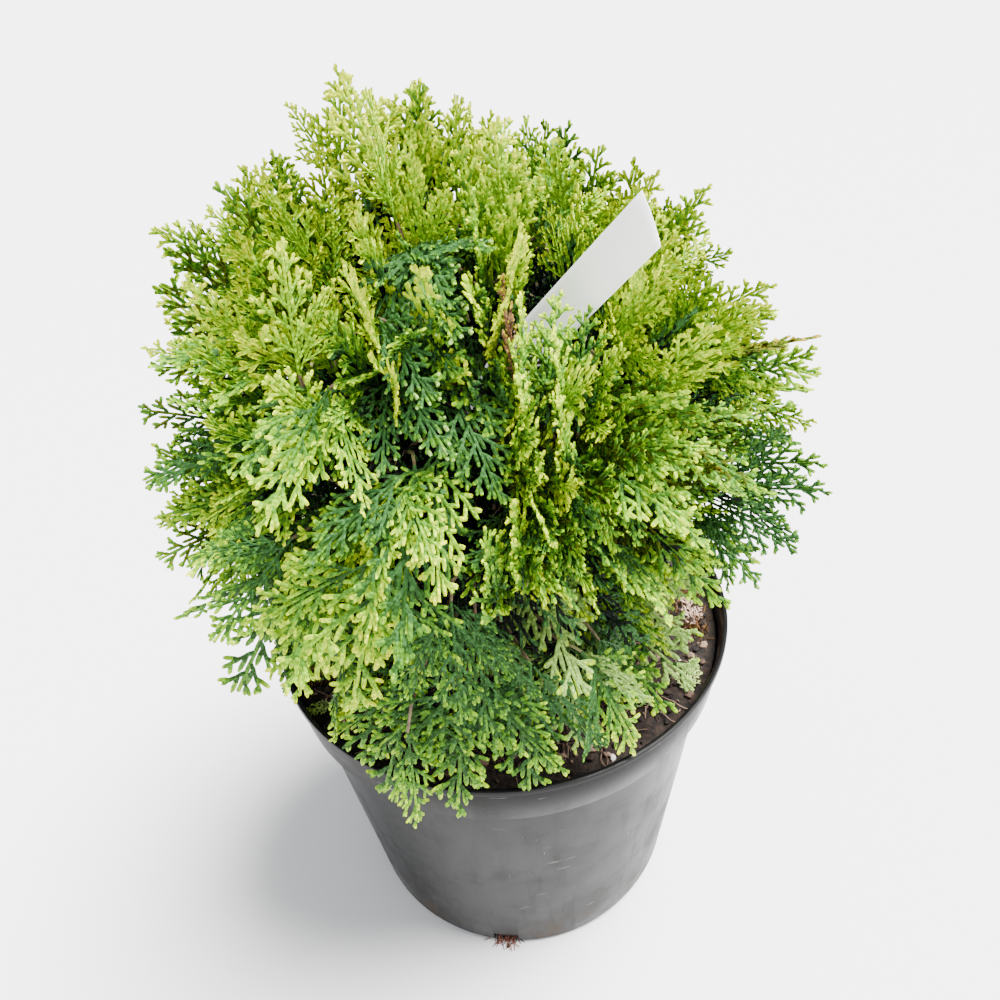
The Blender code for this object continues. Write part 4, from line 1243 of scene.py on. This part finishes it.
strip = Heap()
points, faces = [], []
for row in range(LABEL_ROWS + 1):
    along = LABEL_FOOT + (label_length - LABEL_FOOT) * row / LABEL_ROWS
    widen = min(1.0, along / LABEL_TAIL)
    half = (LABEL_TAIL_WIDTH + (LABEL_WIDTH - LABEL_TAIL_WIDTH) * widen) / 2
    for column in range(LABEL_COLUMNS + 1):
        side = 2.0 * column / LABEL_COLUMNS - 1.0
        share = along / label_length
        spring = LABEL_SPRING * math.sin(math.pi * share)
        spring += LABEL_CUP * (side * side - 0.5) * share
        slant = LABEL_SLANT * side * max(0.0, share - LABEL_CUT) / (1.0 - LABEL_CUT)
        spot = label_hold + label_along * (along + slant) + label_across * side * half
        points.append(spot + label_face * spring)
for row, column in itertools.product(range(LABEL_ROWS), range(LABEL_COLUMNS)):
    here = row * (LABEL_COLUMNS + 1) + column
    faces.append((here, here + 1, here + LABEL_COLUMNS + 2, here + LABEL_COLUMNS + 1))
strip.add([tuple(point) for point in points], faces)
# A faint emission makes the label glow: painted light that brightens it where the sun misses it.
label_finish = Finish("label_plastic", Roughness=0.34, Emission_Strength=0.4)
smudge = label_finish.noise(60.0, 4.0)
label_finish.base(label_finish.mix(smudge.between(0.45, 0.75), screen(252, 253, 254),
                                   screen(240, 242, 245)))
label_finish.rough(0.28 + smudge * 0.2)
label_finish.bump(label_finish.noise(240.0), 0.00005, 0.3)
label_piece = strip.make("blank_label", [label_finish.material])
thick = label_piece.modifiers.new("thickness", "SOLIDIFY")
thick.thickness = LABEL_THICKNESS
thick.offset = 0.0
edge = label_piece.modifiers.new("soft_edge", "BEVEL")
edge.width = 0.00015
edge.segments = 1
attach(label_piece, "root")
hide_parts("label")

# %% [markdown]
# ## Floor, light and camera
# The stage is a pale, plain floor under a soft sky, like an overcast day: a bright even world,
# and one wide sun high on the right, which keeps the shadows soft and the tips bright.

# %% The pale floor
FLOOR_WIDTH = 400.0
bpy.ops.mesh.primitive_plane_add(size=FLOOR_WIDTH)
floor = bpy.context.active_object
floor.name = "floor"
floor_finish = Finish("floor_pale", Roughness=0.85, Base_Color=screen(240, 240, 242))
floor.data.materials.append(floor_finish.material)
print("floor", floor.dimensions.x, "m wide")

# %% Soft studio light
SUN_WAY = Vector((0.36, 0.05, 0.92))
SUN_POWER = 19.0
SUN_WIDTH = 32.0                # degrees across, so its shadows are soft
SKY_STRENGTH = 1.05
world = bpy.data.worlds.new("soft_sky")
world.use_nodes = True
sky = world.node_tree.nodes["Background"].inputs
sky["Color"].default_value = (0.96, 0.98, 1.0, 1.0)
sky["Strength"].default_value = SKY_STRENGTH
bpy.context.scene.world = world
sun = bpy.data.lights.new("bright_sky", "SUN")
sun.energy, sun.angle, sun.color = SUN_POWER, math.radians(SUN_WIDTH), (1.0, 0.99, 0.96)
lamp = new_object("bright_sky", sun)
lamp.rotation_euler = (-SUN_WAY).to_track_quat("-Z", "Y").to_euler()
print("a sky and a wide soft sun")

# %% The camera, where the photograph was taken from
CAMERA_PLACE = Vector((0.0, -0.3606, 0.5596))
CAMERA_RIGHT = Vector((0.9959, -0.0608, -0.0675))
CAMERA_UP = Vector((0.0903, 0.5832, 0.8073))
SENSOR = 36.0
FOCAL_SHARE = 0.760             # of the picture's width

lens = bpy.data.cameras.new("camera")
lens.sensor_width = SENSOR
lens.lens = SENSOR * FOCAL_SHARE
lens.clip_start, lens.clip_end = 0.01, 1000.0
viewer = new_object("camera", lens)
right = CAMERA_RIGHT.normalized()
upright = perpendicular(CAMERA_UP, right)
turning = Matrix((right, upright, right.cross(upright))).transposed()
viewer.matrix_world = Matrix.Translation(CAMERA_PLACE) @ turning.to_4x4()
bpy.context.scene.camera = viewer
print("camera lens", round(lens.lens, 2), "mm")
